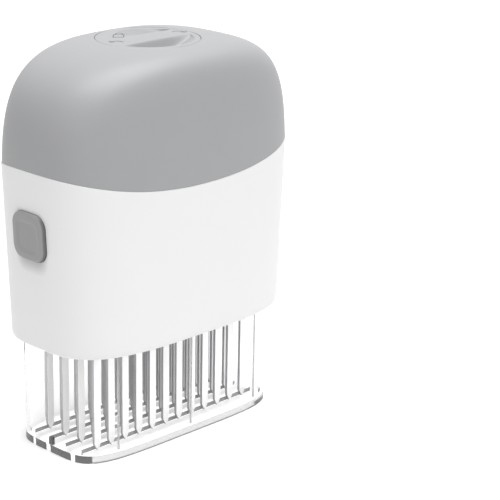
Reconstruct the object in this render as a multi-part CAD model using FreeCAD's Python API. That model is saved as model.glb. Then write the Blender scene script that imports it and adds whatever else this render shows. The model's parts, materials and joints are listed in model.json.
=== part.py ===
import FreeCAD, Part
import math
import os

from FreeCAD import Vector

# Blade meat tenderizer: a hand press with a clear sprung guard round four rows of knife blades.
# All lengths are in millimetres and all angles in degrees.
# X runs along the press, from button to button, Y runs across it and Z points up.
# The origin is the middle of the guard's foot, on the surface that the press stands on.

# Handle outline: an oval between an ellipse and a rectangle, narrower at its lower end
HANDLE_HALF_LENGTH = 60.3
HANDLE_HALF_WIDTH = 32.3
HANDLE_SQUARENESS = 3.34
BODY_BOTTOM_HALF_LENGTH = 57.0
BODY_BOTTOM_HALF_WIDTH = 31.8
BODY_BOTTOM_Z = 44.4
TAPER_TOP_Z = 115.0
BODY_WALL = 2.2
BODY_LIP_HEIGHT = 2.2

# Seam between body and dome, an arc that climbs towards both ends
SEAM_MID_Z = 105.8
SEAM_RADIUS = 204.0
SEAM_GAP = 0.4
SEAM_TONGUE_WALL = 1.2
SEAM_TONGUE_RISE = 2.5
SEAM_TONGUE_ROOT = 3.0
SEAM_ROOT_DROP = 0.8
SEAM_TONGUE_CLEARANCE = 0.15

# Dome
DOME_CROWN_Z = 156.9
DOME_WALL = 2.4
DOME_ROOF = 2.6
DOME_ARCH_POWER = 3.5
DOME_SHOULDER_POWER = 8.9
DOME_SHOULDER_SQUARENESS = 6.0
DOME_TOP_SQUARENESS = 2.8
DOME_TOP_ANGLE = 69.0
DOME_SECTIONS = 12
DOME_SKIRT = 4.0

# Knob in the crown of the dome, with a bar between two sloped finger recesses
KNOB_RADIUS = 20.4
KNOB_GAP = 0.35
KNOB_THICKNESS = 7.25
KNOB_CROWN_RADIUS = 460.0
KNOB_EDGE_ROUND = 0.5
KNOB_SEAT_GAP = 0.15
KNOB_WELL_WALL = 2.15
KNOB_WELL_FLOOR = 2.2
KNOB_BAR_HALF_WIDTH = 5.0
KNOB_RIM_WIDTH = 2.6
KNOB_RECESS_DEEP = 5.4
KNOB_RECESS_SHALLOW = 0.4
STEM_RADIUS = 4.0
STEM_CLEARANCE = 0.05
STEM_BUSH_WALL = 3.0
STEM_BUSH_LENGTH = 6.2
STEM_KEY_RADIUS = 3.2
STEM_KEY_FLAT = 2.3
STEM_PILOT_DEPTH = 10.0
CLIP_THICKNESS = 1.0
CLIP_RADIUS = 7.0
CLIP_GROOVE_DEPTH = 0.8
CLIP_GAP = 0.2
CLIP_MOUTH = 5.4

# Lock cam on the lower end of the stem
CAM_THICKNESS = 3.0
CAM_HUB_RADIUS = 8.0
CAM_LOBE_HALF_WIDTH = 5.0
CAM_LOBE_CLEARANCE = 0.5
CAM_OVER_FLANGE = 1.5
CAM_KEY_CLEARANCE = 0.05
CAM_WASHER_RADIUS = 5.0
CAM_WASHER_THICKNESS = 0.8

# Inner frame: a flange across the handle and a tower that hangs from it
FLANGE_BOTTOM_Z = 112.5
FLANGE_THICKNESS = 3.0
FLANGE_CLEARANCE = 0.5
FLANGE_EYE_RADIUS = 9.0
TOWER_HALF_LENGTH = 38.0
TOWER_HALF_WIDTH = 17.0
TOWER_WALL = 2.4
TOWER_CORNER = 3.0
TOWER_RIB_X = 30.0
TOWER_RIB_THICKNESS = 2.4
TOWER_RIB_CLEARANCE = 0.4
TOWER_BOSS_RADIUS = 4.0
TOWER_BOSS_HEIGHT = 14.0

# Screws
SCREW_RADIUS = 1.5
SCREW_HEAD_RADIUS = 2.8
SCREW_HEAD_HEIGHT = 2.2
SCREW_SOCKET_RADIUS = 1.3
SCREW_SOCKET_DEPTH = 1.1
SCREW_HOLE_CLEARANCE = 0.2
SCREW_PILOT_CLEARANCE = 0.05
SCREW_HEAD_CLEARANCE = 0.3
HANDLE_SCREW_X = 43.5
HANDLE_SCREW_Y = 19.8
HANDLE_SCREW_LENGTH = 20.0
HANDLE_COLUMN_RADIUS = 4.0
HANDLE_COLUMN_HEIGHT = 6.0
HANDLE_BOSS_HEIGHT = 18.0
COLUMN_WEB_THICKNESS = 2.6
COLUMN_WEB_TOP_Z = 108.8
CLAMP_SCREW_X = 25.27
CLAMP_SCREW_LENGTH = 22.0
CAM_SCREW_LENGTH = 10.0

# Guard: clear sleeve and foot, which slide up into the handle
GUARD_HALF_LENGTH = 51.7
GUARD_HALF_WIDTH = 24.5
GUARD_SQUARENESS = 4.8
GUARD_WALL = 1.8
GUARD_STROKE = 28.0
GUARD_STOP_GAP = 0.3
GUARD_LIP_CLEARANCE = 0.5
GUARD_FLANGE_WIDTH = 2.2
GUARD_FLANGE_THICKNESS = 2.0
GUARD_FLANGE_CLEARANCE = 0.35
GUARD_PANEL_HALF_LENGTH = 38.5
GUARD_TONGUE_HALF_WIDTH = 4.0
GUARD_TONGUE_RISE = 1.0
GUARD_TONGUE_CLEARANCE = 0.4
GUARD_RIB_X = 37.5
GUARD_RIB_WIDTH = 0.6
GUARD_RIB_DEPTH = 0.5
GUARD_SHELF_INNER_X = 43.4
GUARD_SHELF_HALF_WIDTH = 12.6
FOOT_THICKNESS = 3.3
FOOT_EDGE_ROUND = 0.5
FOOT_SLOT_WIDTH = 2.4
FOOT_SLOT_HALF_LENGTH = 46.4
FOOT_TAB_HEIGHT = 4.8
FOOT_TAB_THICKNESS = 1.4
FOOT_TAB_HALF_WIDTH = 1.5
FOOT_TAB_CLEARANCE = 0.1
FOOT_NOTCH_Y = 12.0
FOOT_NOTCH_HALF_WIDTH = 0.9
FOOT_NOTCH_DEPTH = 0.5

# Blades
BLADES_IN_ROW = 12
BLADE_ROWS = 4
BLADE_PITCH = 7.22
ROW_PITCH = 9.27
BLADE_WIDTH = 3.2
BLADE_THICKNESS = 1.25
BLADE_TIP_Z = 1.5
BLADE_POINT_HEIGHT = 3.2
BLADE_HEAD_WIDTH = 4.4
BLADE_HEAD_HEIGHT = 1.6
BLADE_SLOT_CLEARANCE = 0.05

# Block and plate that hold the blades
HOLDER_BOTTOM_Z = 52.0
HOLDER_THICKNESS = 8.0
HOLDER_HALF_LENGTH = 43.0
HOLDER_HALF_WIDTH = 18.5
HOLDER_CORNER = 3.0
CLAMP_PLATE_THICKNESS = 2.5
CLAMP_PLATE_INSET = 0.6

# Return springs and their guide rods
SPRING_X = 46.6
SPRING_Y = 9.27
SPRING_RADIUS = 2.6
SPRING_WIRE_RADIUS = 0.4
SPRING_TURNS = 16
ROD_RADIUS = 1.6
ROD_CLEARANCE = 0.1
ROD_SHELF_CLEARANCE = 0.4
ROD_BOTTOM_Z = 54.0
ROD_HEAD_RADIUS = 2.8
ROD_HEAD_HEIGHT = 1.2

# Release buttons and the springs behind them
BUTTON_Z = 89.8
BUTTON_SIZE = 20.0
BUTTON_CORNER = 5.2
BUTTON_CLEARANCE = 0.25
BUTTON_PROUD = 1.7
BUTTON_EDGE_ROUND = 0.9
BUTTON_BACK_X = 54.2
BUTTON_RIM = 1.5
BUTTON_RIM_GAP = 0.25
BUTTON_POCKET_RADIUS = 3.7
BUTTON_POCKET_DEPTH = 2.8
BUTTON_SPRING_RADIUS = 2.9
BUTTON_SPRING_WIRE_RADIUS = 0.3
BUTTON_SPRING_TURNS = 3
BRACKET_X = 46.0
BRACKET_THICKNESS = 2.0
BRACKET_HALF_WIDTH = 5.5
BRACKET_BELOW_BUTTON = 4.5
SPIGOT_RADIUS = 2.1
SPIGOT_LENGTH = 2.0

# Construction helpers
OVAL_POINTS = 40
REACH = 80.0
OVERRUN = 1.0

# Heights that follow from the sizes above
FLANGE_TOP_Z = FLANGE_BOTTOM_Z + FLANGE_THICKNESS
LIP_TOP_Z = BODY_BOTTOM_Z + BODY_LIP_HEIGHT
GUARD_FLANGE_Z = LIP_TOP_Z + GUARD_STOP_GAP
GUARD_FLANGE_TOP_Z = GUARD_FLANGE_Z + GUARD_FLANGE_THICKNESS
GUARD_PANEL_TOP_Z = FLANGE_BOTTOM_Z - GUARD_STROKE - GUARD_STOP_GAP
GUARD_TONGUE_TOP_Z = FLANGE_TOP_Z + GUARD_TONGUE_RISE
HOLDER_TOP_Z = HOLDER_BOTTOM_Z + HOLDER_THICKNESS
CLAMP_PLATE_TOP_Z = HOLDER_TOP_Z + CLAMP_PLATE_THICKNESS
BLADE_HEAD_Z = HOLDER_TOP_Z - BLADE_HEAD_HEIGHT
CAM_Z = FLANGE_TOP_Z + CAM_OVER_FLANGE
CAM_TOP_Z = CAM_Z + CAM_THICKNESS
WELL_RADIUS = KNOB_RADIUS + KNOB_GAP
KNOB_TOP_Z = DOME_CROWN_Z
KNOB_BOTTOM_Z = KNOB_TOP_Z - KNOB_THICKNESS
WELL_FLOOR_TOP_Z = KNOB_BOTTOM_Z - KNOB_SEAT_GAP
WELL_FLOOR_Z = WELL_FLOOR_TOP_Z - KNOB_WELL_FLOOR
BUSH_BOTTOM_Z = WELL_FLOOR_Z - STEM_BUSH_LENGTH
CLIP_TOP_Z = BUSH_BOTTOM_Z - CLIP_GAP
BRACKET_FACE_X = BRACKET_X + BRACKET_THICKNESS


# ---------------------------------------------------------------- shape helpers

def oval_wire(half_length, half_width, squareness, z):
    points = []
    for step in range(OVAL_POINTS):
        angle = 2.0 * math.pi * step / OVAL_POINTS
        across = abs(math.cos(angle)) ** squareness + abs(math.sin(angle)) ** squareness
        reach = across ** (-1.0 / squareness)
        x = half_length * reach * math.cos(angle)
        y = half_width * reach * math.sin(angle)
        points.append(Vector(x, y, z))
    curve = Part.BSplineCurve()
    curve.interpolate(Points=points, PeriodicFlag=True)
    return Part.Wire(curve.toShape())


def oval_prism(half_length, half_width, squareness, low_z, high_z):
    face = Part.Face(oval_wire(half_length, half_width, squareness, low_z))
    return face.extrude(Vector(0, 0, high_z - low_z))


def cylinder(radius, low_z, high_z, x=0.0, y=0.0):
    return Part.makeCylinder(radius, high_z - low_z, Vector(x, y, low_z))


def box(low, high):
    size = [high[axis] - low[axis] for axis in range(3)]
    return Part.makeBox(size[0], size[1], size[2], Vector(*low))


def centred_box(half_length, half_width, low_z, high_z):
    return box((-half_length, -half_width, low_z), (half_length, half_width, high_z))


def edges_along(shape, direction):
    found = []
    for edge in shape.Edges:
        span = edge.Vertexes[-1].Point - edge.Vertexes[0].Point
        if span.Length > 0 and abs(abs(span.dot(direction)) - span.Length) < 1e-6:
            found.append(edge)
    return found


def rounded_block(half_length, half_width, low_z, high_z, corner):
    block = centred_box(half_length, half_width, low_z, high_z)
    return block.makeFillet(corner, edges_along(block, Vector(0, 0, 1)))


def edges_at_height(shape, z):
    found = []
    for edge in shape.Edges:
        limits = edge.BoundBox
        if abs(limits.ZMin - z) < 1e-3 and abs(limits.ZMax - z) < 1e-3:
            found.append(edge)
    return found


def both_ends(x, y):
    return [(sx * x, sy * y) for sx in (-1, 1) for sy in (-1, 1)]


def turned_about_z(shape, angle):
    copy = shape.copy()
    copy.rotate(Vector(0, 0, 0), Vector(0, 0, 1), angle)
    return copy


def screw(x, y, head_z, length):
    """A cap screw that points up: head_z is the underside of the joint, where the head stops."""
    head = cylinder(SCREW_HEAD_RADIUS, head_z - SCREW_HEAD_HEIGHT, head_z, x, y)
    shank = cylinder(SCREW_RADIUS, head_z, head_z + length, x, y)
    socket_low = head_z - SCREW_HEAD_HEIGHT - OVERRUN
    socket_high = head_z - SCREW_HEAD_HEIGHT + SCREW_SOCKET_DEPTH
    corners = []
    for side in range(7):
        angle = math.pi * side / 3.0
        corners.append(Vector(x + SCREW_SOCKET_RADIUS * math.cos(angle),
                              y + SCREW_SOCKET_RADIUS * math.sin(angle), socket_low))
    socket = Part.Face(Part.makePolygon(corners)).extrude(Vector(0, 0, socket_high - socket_low))
    return head.fuse(shank).removeSplitter().cut(socket)


def coil(radius, wire_radius, turns, length):
    """A coil spring along +Z from the origin, with its wire inside the stated length."""
    rise = length - 2.0 * wire_radius
    path = Part.Wire(Part.makeHelix(rise / turns, rise, radius).Edges)
    start = Vector(radius, 0, 0)
    tangent = Vector(0, radius, rise / turns / (2.0 * math.pi))
    section = Part.Wire(Part.makeCircle(wire_radius, start, tangent))
    spring = path.makePipeShell([section], True, True)
    spring.translate(Vector(0, 0, wire_radius))
    return spring


def seam_cylinder(raise_by=0.0, shrink_by=0.0):
    """Everything above the seam's arc, near the press."""
    centre = Vector(0, -REACH, SEAM_MID_Z + SEAM_RADIUS + raise_by)
    return Part.makeCylinder(SEAM_RADIUS - shrink_by, 2.0 * REACH, centre, Vector(0, 1, 0))


# ---------------------------------------------------------------- handle shells

def handle_outline(inset, low_z, high_z):
    """The handle's tapered outside, grown or shrunk by a margin: straight above the taper."""
    low = (BODY_BOTTOM_HALF_LENGTH - inset, BODY_BOTTOM_HALF_WIDTH - inset, HANDLE_SQUARENESS)
    high = (HANDLE_HALF_LENGTH - inset, HANDLE_HALF_WIDTH - inset, HANDLE_SQUARENESS)
    sections = [oval_wire(*low, BODY_BOTTOM_Z)]
    sections += [oval_wire(*high, z) for z in (TAPER_TOP_Z, DOME_CROWN_Z)]
    solid = Part.makeLoft(sections, True, True)
    return solid.common(centred_box(REACH, REACH, low_z, high_z))


def dome_solid(inset, crown_z):
    """Loft of ovals that close in towards the crown along two arches, one for each half axis."""
    base_z = SEAM_MID_Z
    length = HANDLE_HALF_LENGTH - inset
    width = HANDLE_HALF_WIDTH - inset
    sections = [oval_wire(length, width, HANDLE_SQUARENESS, base_z - DOME_SKIRT)]
    for step in range(DOME_SECTIONS + 1):
        angle = math.radians(DOME_TOP_ANGLE * step / DOME_SECTIONS)
        across = math.cos(angle) ** DOME_ARCH_POWER + math.sin(angle) ** DOME_ARCH_POWER
        rise = math.sin(angle) * across ** (-1.0 / DOME_ARCH_POWER)
        half_length = length * (1.0 - rise ** DOME_ARCH_POWER) ** (1.0 / DOME_ARCH_POWER)
        half_width = width * (1.0 - rise ** DOME_SHOULDER_POWER) ** (1.0 / DOME_SHOULDER_SQUARENESS)
        squareness = HANDLE_SQUARENESS + (DOME_TOP_SQUARENESS - HANDLE_SQUARENESS) * rise
        height = base_z + (crown_z - base_z) * rise
        sections.append(oval_wire(half_length, half_width, squareness, height))
    return Part.makeLoft(sections, True, False)


def make_dome_cap():
    outside = dome_solid(0.0, DOME_CROWN_Z)
    inside = dome_solid(DOME_WALL, DOME_CROWN_Z - DOME_ROOF)
    posts = []
    holes = [cylinder(WELL_RADIUS, BUSH_BOTTOM_Z, DOME_CROWN_Z + OVERRUN)]
    for x, y in both_ends(HANDLE_SCREW_X, HANDLE_SCREW_Y):
        post = cylinder(HANDLE_COLUMN_RADIUS, FLANGE_TOP_Z, DOME_CROWN_Z - DOME_ROOF, x, y)
        posts.append(post.common(outside))
        pilot = SCREW_RADIUS + SCREW_PILOT_CLEARANCE
        holes.append(cylinder(pilot, FLANGE_TOP_Z - OVERRUN, FLANGE_TOP_Z + HANDLE_BOSS_HEIGHT, x, y))
    return outside.cut(inside).fuse(posts).cut(holes).common(seam_cylinder())


def make_knob_well():
    """Cup under the hole in the crown, with a long bush for the knob's stem."""
    inside = dome_solid(DOME_WALL, DOME_CROWN_Z - DOME_ROOF)
    cup = cylinder(WELL_RADIUS + KNOB_WELL_WALL, WELL_FLOOR_Z, DOME_CROWN_Z).common(inside)
    bush = cylinder(STEM_RADIUS + STEM_BUSH_WALL, BUSH_BOTTOM_Z, WELL_FLOOR_Z + OVERRUN)
    bore = cylinder(STEM_RADIUS + STEM_CLEARANCE, BUSH_BOTTOM_Z - OVERRUN, WELL_FLOOR_TOP_Z + OVERRUN)
    return cup.fuse(bush).cut([cylinder(WELL_RADIUS, WELL_FLOOR_TOP_Z, DOME_CROWN_Z), bore])


def button_prism(margin, inner_x, outer_x):
    """Rounded square that points along +X, grown by a margin on every side."""
    half = BUTTON_SIZE / 2.0 + margin
    block = box((inner_x, -half, BUTTON_Z - half), (outer_x, half, BUTTON_Z + half))
    return block.makeFillet(BUTTON_CORNER + margin, edges_along(block, Vector(1, 0, 0)))


def make_body_shell():
    outside = handle_outline(0.0, BODY_BOTTOM_Z, TAPER_TOP_Z + SEAM_TONGUE_RISE)
    cavity = handle_outline(BODY_WALL, LIP_TOP_Z, DOME_CROWN_Z)
    mouth = oval_prism(GUARD_HALF_LENGTH + GUARD_LIP_CLEARANCE, GUARD_HALF_WIDTH + GUARD_LIP_CLEARANCE,
                       GUARD_SQUARENESS, BODY_BOTTOM_Z - OVERRUN, LIP_TOP_Z + OVERRUN)
    column_low = FLANGE_BOTTOM_Z - HANDLE_COLUMN_HEIGHT
    columns = []
    for x, y in both_ends(HANDLE_SCREW_X, HANDLE_SCREW_Y):
        columns.append(cylinder(HANDLE_COLUMN_RADIUS, column_low, FLANGE_BOTTOM_Z, x, y))
        side = math.copysign(1.0, y)
        web_y = sorted((y, y + side * REACH))
        web = box((x - COLUMN_WEB_THICKNESS / 2.0, web_y[0], column_low),
                  (x + COLUMN_WEB_THICKNESS / 2.0, web_y[1], COLUMN_WEB_TOP_Z))
        columns.append(web.common(outside))
    shell = outside.cut([cavity, mouth]).cut(seam_cylinder(0.0, -SEAM_GAP))
    tongue_outer = DOME_WALL + SEAM_TONGUE_CLEARANCE
    tongue_bore = dome_solid(tongue_outer + SEAM_TONGUE_WALL, DOME_CROWN_Z - DOME_ROOF)
    tongue = dome_solid(tongue_outer, DOME_CROWN_Z - DOME_ROOF).cut(tongue_bore)
    tongue = tongue.common(seam_cylinder(-SEAM_TONGUE_ROOT)).cut(seam_cylinder(SEAM_TONGUE_RISE))
    root = handle_outline(BODY_WALL / 2.0, SEAM_MID_Z - DOME_SKIRT, TAPER_TOP_Z).cut(tongue_bore)
    root = root.common(seam_cylinder(-SEAM_TONGUE_ROOT)).cut(seam_cylinder(-SEAM_ROOT_DROP))
    shell = shell.fuse([tongue, root] + columns)
    holes = []
    for x, y in both_ends(HANDLE_SCREW_X, HANDLE_SCREW_Y):
        radius = SCREW_RADIUS + SCREW_HOLE_CLEARANCE
        holes.append(cylinder(radius, column_low - OVERRUN, FLANGE_BOTTOM_Z + OVERRUN, x, y))
    window = button_prism(BUTTON_CLEARANCE, BUTTON_BACK_X, REACH)
    holes.append(window)
    holes.append(turned_about_z(window, 180))
    return shell.cut(holes)


# ---------------------------------------------------------------- inner frame

def make_inner_frame():
    tongue_inner = DOME_WALL + SEAM_TONGUE_CLEARANCE + SEAM_TONGUE_WALL + FLANGE_CLEARANCE
    flange = oval_prism(HANDLE_HALF_LENGTH - tongue_inner, HANDLE_HALF_WIDTH - tongue_inner,
                        HANDLE_SQUARENESS, FLANGE_BOTTOM_Z, FLANGE_TOP_Z)
    tower = rounded_block(TOWER_HALF_LENGTH, TOWER_HALF_WIDTH, CLAMP_PLATE_TOP_Z, FLANGE_BOTTOM_Z + OVERRUN,
                          TOWER_CORNER)
    hollow = centred_box(TOWER_HALF_LENGTH - TOWER_WALL, TOWER_HALF_WIDTH - TOWER_WALL,
                         CLAMP_PLATE_TOP_Z - OVERRUN, FLANGE_BOTTOM_Z)
    tower = tower.cut(hollow)
    pieces = [tower]
    bosses = []
    for x, y in both_ends(CLAMP_SCREW_X, ROW_PITCH):
        boss_top = CLAMP_PLATE_TOP_Z + TOWER_BOSS_HEIGHT
        bosses.append(cylinder(TOWER_BOSS_RADIUS, CLAMP_PLATE_TOP_Z, boss_top, x, y))
        side = math.copysign(1.0, y)
        web_y = sorted((y, side * (TOWER_HALF_WIDTH - TOWER_WALL / 2.0)))
        bosses.append(box((x - TOWER_WALL / 2.0, web_y[0], CLAMP_PLATE_TOP_Z),
                          (x + TOWER_WALL / 2.0, web_y[1], boss_top)))
    pieces += bosses
    rib_oval = oval_prism(GUARD_HALF_LENGTH - GUARD_WALL - TOWER_RIB_CLEARANCE,
                          GUARD_HALF_WIDTH - GUARD_WALL - TOWER_RIB_CLEARANCE,
                          GUARD_SQUARENESS, CLAMP_PLATE_TOP_Z, FLANGE_BOTTOM_Z + OVERRUN)
    for x in (-TOWER_RIB_X, TOWER_RIB_X):
        for side in (-1.0, 1.0):
            rib_y = sorted((side * (TOWER_HALF_WIDTH - TOWER_WALL / 2.0), side * REACH))
            rib = box((x - TOWER_RIB_THICKNESS / 2.0, rib_y[0], CLAMP_PLATE_TOP_Z),
                      (x + TOWER_RIB_THICKNESS / 2.0, rib_y[1], FLANGE_BOTTOM_Z + OVERRUN))
            pieces.append(rib.common(rib_oval))
    bracket = box((BRACKET_X, -BRACKET_HALF_WIDTH, BUTTON_Z - BRACKET_BELOW_BUTTON),
                  (BRACKET_FACE_X, BRACKET_HALF_WIDTH, FLANGE_BOTTOM_Z + OVERRUN))
    spigot = Part.makeCylinder(SPIGOT_RADIUS, SPIGOT_LENGTH + OVERRUN,
                               Vector(BRACKET_FACE_X - OVERRUN, 0, BUTTON_Z), Vector(1, 0, 0))
    arm = bracket.fuse(spigot)
    pieces += [arm, turned_about_z(arm, 180)]
    frame = flange.fuse(pieces)
    holes = [cylinder(FLANGE_EYE_RADIUS, FLANGE_BOTTOM_Z - OVERRUN, FLANGE_TOP_Z + OVERRUN)]
    for x, y in both_ends(HANDLE_SCREW_X, HANDLE_SCREW_Y):
        radius = SCREW_RADIUS + SCREW_HOLE_CLEARANCE
        holes.append(cylinder(radius, FLANGE_BOTTOM_Z - OVERRUN, FLANGE_TOP_Z + OVERRUN, x, y))
    for x, y in both_ends(SPRING_X, SPRING_Y):
        radius = ROD_RADIUS + ROD_CLEARANCE
        holes.append(cylinder(radius, FLANGE_BOTTOM_Z - OVERRUN, FLANGE_TOP_Z + OVERRUN, x, y))
    for x, y in both_ends(CLAMP_SCREW_X, ROW_PITCH):
        radius = SCREW_RADIUS + SCREW_PILOT_CLEARANCE
        hole_top = CLAMP_PLATE_TOP_Z + TOWER_BOSS_HEIGHT + OVERRUN
        holes.append(cylinder(radius, CLAMP_PLATE_TOP_Z - OVERRUN, hole_top, x, y))
    slot_inner = GUARD_HALF_WIDTH - GUARD_WALL - GUARD_TONGUE_CLEARANCE
    slot_outer = GUARD_HALF_WIDTH + GUARD_TONGUE_CLEARANCE
    slot_half = GUARD_TONGUE_HALF_WIDTH + GUARD_TONGUE_CLEARANCE
    slot = box((-slot_half, slot_inner, FLANGE_BOTTOM_Z - OVERRUN),
               (slot_half, slot_outer, FLANGE_TOP_Z + OVERRUN))
    holes += [slot, turned_about_z(slot, 180)]
    return frame.cut(holes)


# ---------------------------------------------------------------- blades and their holder

def blade_places(row):
    y = (row - (BLADE_ROWS - 1) / 2.0) * ROW_PITCH
    first_x = -(BLADES_IN_ROW - 1) / 2.0 * BLADE_PITCH
    return [(first_x + number * BLADE_PITCH, y) for number in range(BLADES_IN_ROW)]


def make_blade(x, y):
    half = BLADE_WIDTH / 2.0
    head = BLADE_HEAD_WIDTH / 2.0
    front_y = y - BLADE_THICKNESS / 2.0
    shoulder_z = BLADE_TIP_Z + BLADE_POINT_HEIGHT
    outline = [
        (0.0, BLADE_TIP_Z),
        (half, shoulder_z), (half, BLADE_HEAD_Z), (head, BLADE_HEAD_Z), (head, HOLDER_TOP_Z),
        (-head, HOLDER_TOP_Z), (-head, BLADE_HEAD_Z), (-half, BLADE_HEAD_Z), (-half, shoulder_z),
        (0.0, BLADE_TIP_Z),
    ]
    wire = Part.makePolygon([Vector(x + dx, front_y, z) for dx, z in outline])
    return Part.Face(wire).extrude(Vector(0, BLADE_THICKNESS, 0))


def make_blade_row(row):
    return Part.makeCompound([make_blade(x, y) for x, y in blade_places(row)])


def make_blade_holder():
    block = rounded_block(HOLDER_HALF_LENGTH, HOLDER_HALF_WIDTH, HOLDER_BOTTOM_Z, HOLDER_TOP_Z, HOLDER_CORNER)
    holes = []
    half_thickness = BLADE_THICKNESS / 2.0 + BLADE_SLOT_CLEARANCE
    half_width = BLADE_WIDTH / 2.0 + BLADE_SLOT_CLEARANCE
    half_head = BLADE_HEAD_WIDTH / 2.0 + BLADE_SLOT_CLEARANCE
    for row in range(BLADE_ROWS):
        for x, y in blade_places(row):
            holes.append(box((x - half_width, y - half_thickness, HOLDER_BOTTOM_Z - OVERRUN),
                             (x + half_width, y + half_thickness, HOLDER_TOP_Z + OVERRUN)))
            holes.append(box((x - half_head, y - half_thickness, BLADE_HEAD_Z),
                             (x + half_head, y + half_thickness, HOLDER_TOP_Z + OVERRUN)))
    for x, y in both_ends(CLAMP_SCREW_X, ROW_PITCH):
        holes.append(cylinder(SCREW_RADIUS + SCREW_HOLE_CLEARANCE, HOLDER_BOTTOM_Z - OVERRUN,
                              HOLDER_TOP_Z + OVERRUN, x, y))
        holes.append(cylinder(SCREW_HEAD_RADIUS + SCREW_HEAD_CLEARANCE, HOLDER_BOTTOM_Z - OVERRUN,
                              HOLDER_BOTTOM_Z + SCREW_HEAD_HEIGHT, x, y))
    return block.cut(holes)


def make_blade_clamp_plate():
    plate = rounded_block(HOLDER_HALF_LENGTH - CLAMP_PLATE_INSET, HOLDER_HALF_WIDTH - CLAMP_PLATE_INSET,
                          HOLDER_TOP_Z, CLAMP_PLATE_TOP_Z, HOLDER_CORNER)
    holes = []
    for x, y in both_ends(CLAMP_SCREW_X, ROW_PITCH):
        holes.append(cylinder(SCREW_RADIUS + SCREW_HOLE_CLEARANCE, HOLDER_TOP_Z - OVERRUN,
                              CLAMP_PLATE_TOP_Z + OVERRUN, x, y))
    return plate.cut(holes)


# ---------------------------------------------------------------- fasteners and rods

def make_handle_screws():
    head_z = FLANGE_BOTTOM_Z - HANDLE_COLUMN_HEIGHT
    places = both_ends(HANDLE_SCREW_X, HANDLE_SCREW_Y)
    return Part.makeCompound([screw(x, y, head_z, HANDLE_SCREW_LENGTH) for x, y in places])


def make_clamp_screws():
    head_z = HOLDER_BOTTOM_Z + SCREW_HEAD_HEIGHT
    places = both_ends(CLAMP_SCREW_X, ROW_PITCH)
    return Part.makeCompound([screw(x, y, head_z, CLAMP_SCREW_LENGTH) for x, y in places])


def make_spring_guide_rods():
    rods = []
    for x, y in both_ends(SPRING_X, SPRING_Y):
        rod = cylinder(ROD_RADIUS, ROD_BOTTOM_Z, FLANGE_TOP_Z, x, y)
        head = cylinder(ROD_HEAD_RADIUS, FLANGE_TOP_Z, FLANGE_TOP_Z + ROD_HEAD_HEIGHT, x, y)
        rods.append(rod.fuse(head).removeSplitter())
    return Part.makeCompound(rods)


# ---------------------------------------------------------------- guard

def guard_oval(inset, low_z, high_z):
    return oval_prism(GUARD_HALF_LENGTH - inset, GUARD_HALF_WIDTH - inset, GUARD_SQUARENESS, low_z, high_z)


def make_guard_sleeve():
    # The flange is whole at first. The skirt and the panels end inside it, so no two faces share a plane.
    mid_flange_z = (GUARD_FLANGE_Z + GUARD_FLANGE_TOP_Z) / 2.0
    skirt = guard_oval(0.0, FOOT_THICKNESS, mid_flange_z)
    flange = guard_oval(-GUARD_FLANGE_WIDTH, GUARD_FLANGE_Z, GUARD_FLANGE_TOP_Z)
    flange = flange.common(handle_outline(BODY_WALL + GUARD_FLANGE_CLEARANCE, BODY_BOTTOM_Z, TAPER_TOP_Z))
    panel = centred_box(GUARD_PANEL_HALF_LENGTH, REACH, mid_flange_z, GUARD_PANEL_TOP_Z)
    tongue = centred_box(GUARD_TONGUE_HALF_WIDTH, REACH, mid_flange_z, GUARD_TONGUE_TOP_Z)
    profile = panel.fuse(tongue).removeSplitter()
    upper = guard_oval(0.0, mid_flange_z, GUARD_TONGUE_TOP_Z).common(profile)
    outside = flange.fuse([skirt, upper])
    shelf = box((GUARD_SHELF_INNER_X, -GUARD_SHELF_HALF_WIDTH, GUARD_FLANGE_Z),
                (REACH, GUARD_SHELF_HALF_WIDTH, GUARD_FLANGE_TOP_Z))
    kept = [shelf, turned_about_z(shelf, 180)]
    clear_of_ribs = guard_oval(GUARD_WALL + GUARD_RIB_DEPTH, -OVERRUN, GUARD_PANEL_TOP_Z + OVERRUN)
    for x in (-GUARD_RIB_X, 0.0, GUARD_RIB_X):
        rib = box((x - GUARD_RIB_WIDTH / 2.0, -REACH, FOOT_THICKNESS - OVERRUN),
                  (x + GUARD_RIB_WIDTH / 2.0, REACH, GUARD_PANEL_TOP_Z))
        kept.append(rib.cut(clear_of_ribs))
    holes = [guard_oval(GUARD_WALL, 0.0, GUARD_TONGUE_TOP_Z + OVERRUN).cut(kept)]
    for x, y in both_ends(SPRING_X, SPRING_Y):
        radius = ROD_RADIUS + ROD_SHELF_CLEARANCE
        holes.append(cylinder(radius, GUARD_FLANGE_Z - OVERRUN, GUARD_FLANGE_TOP_Z + OVERRUN, x, y))
    return outside.cut(holes)


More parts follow.
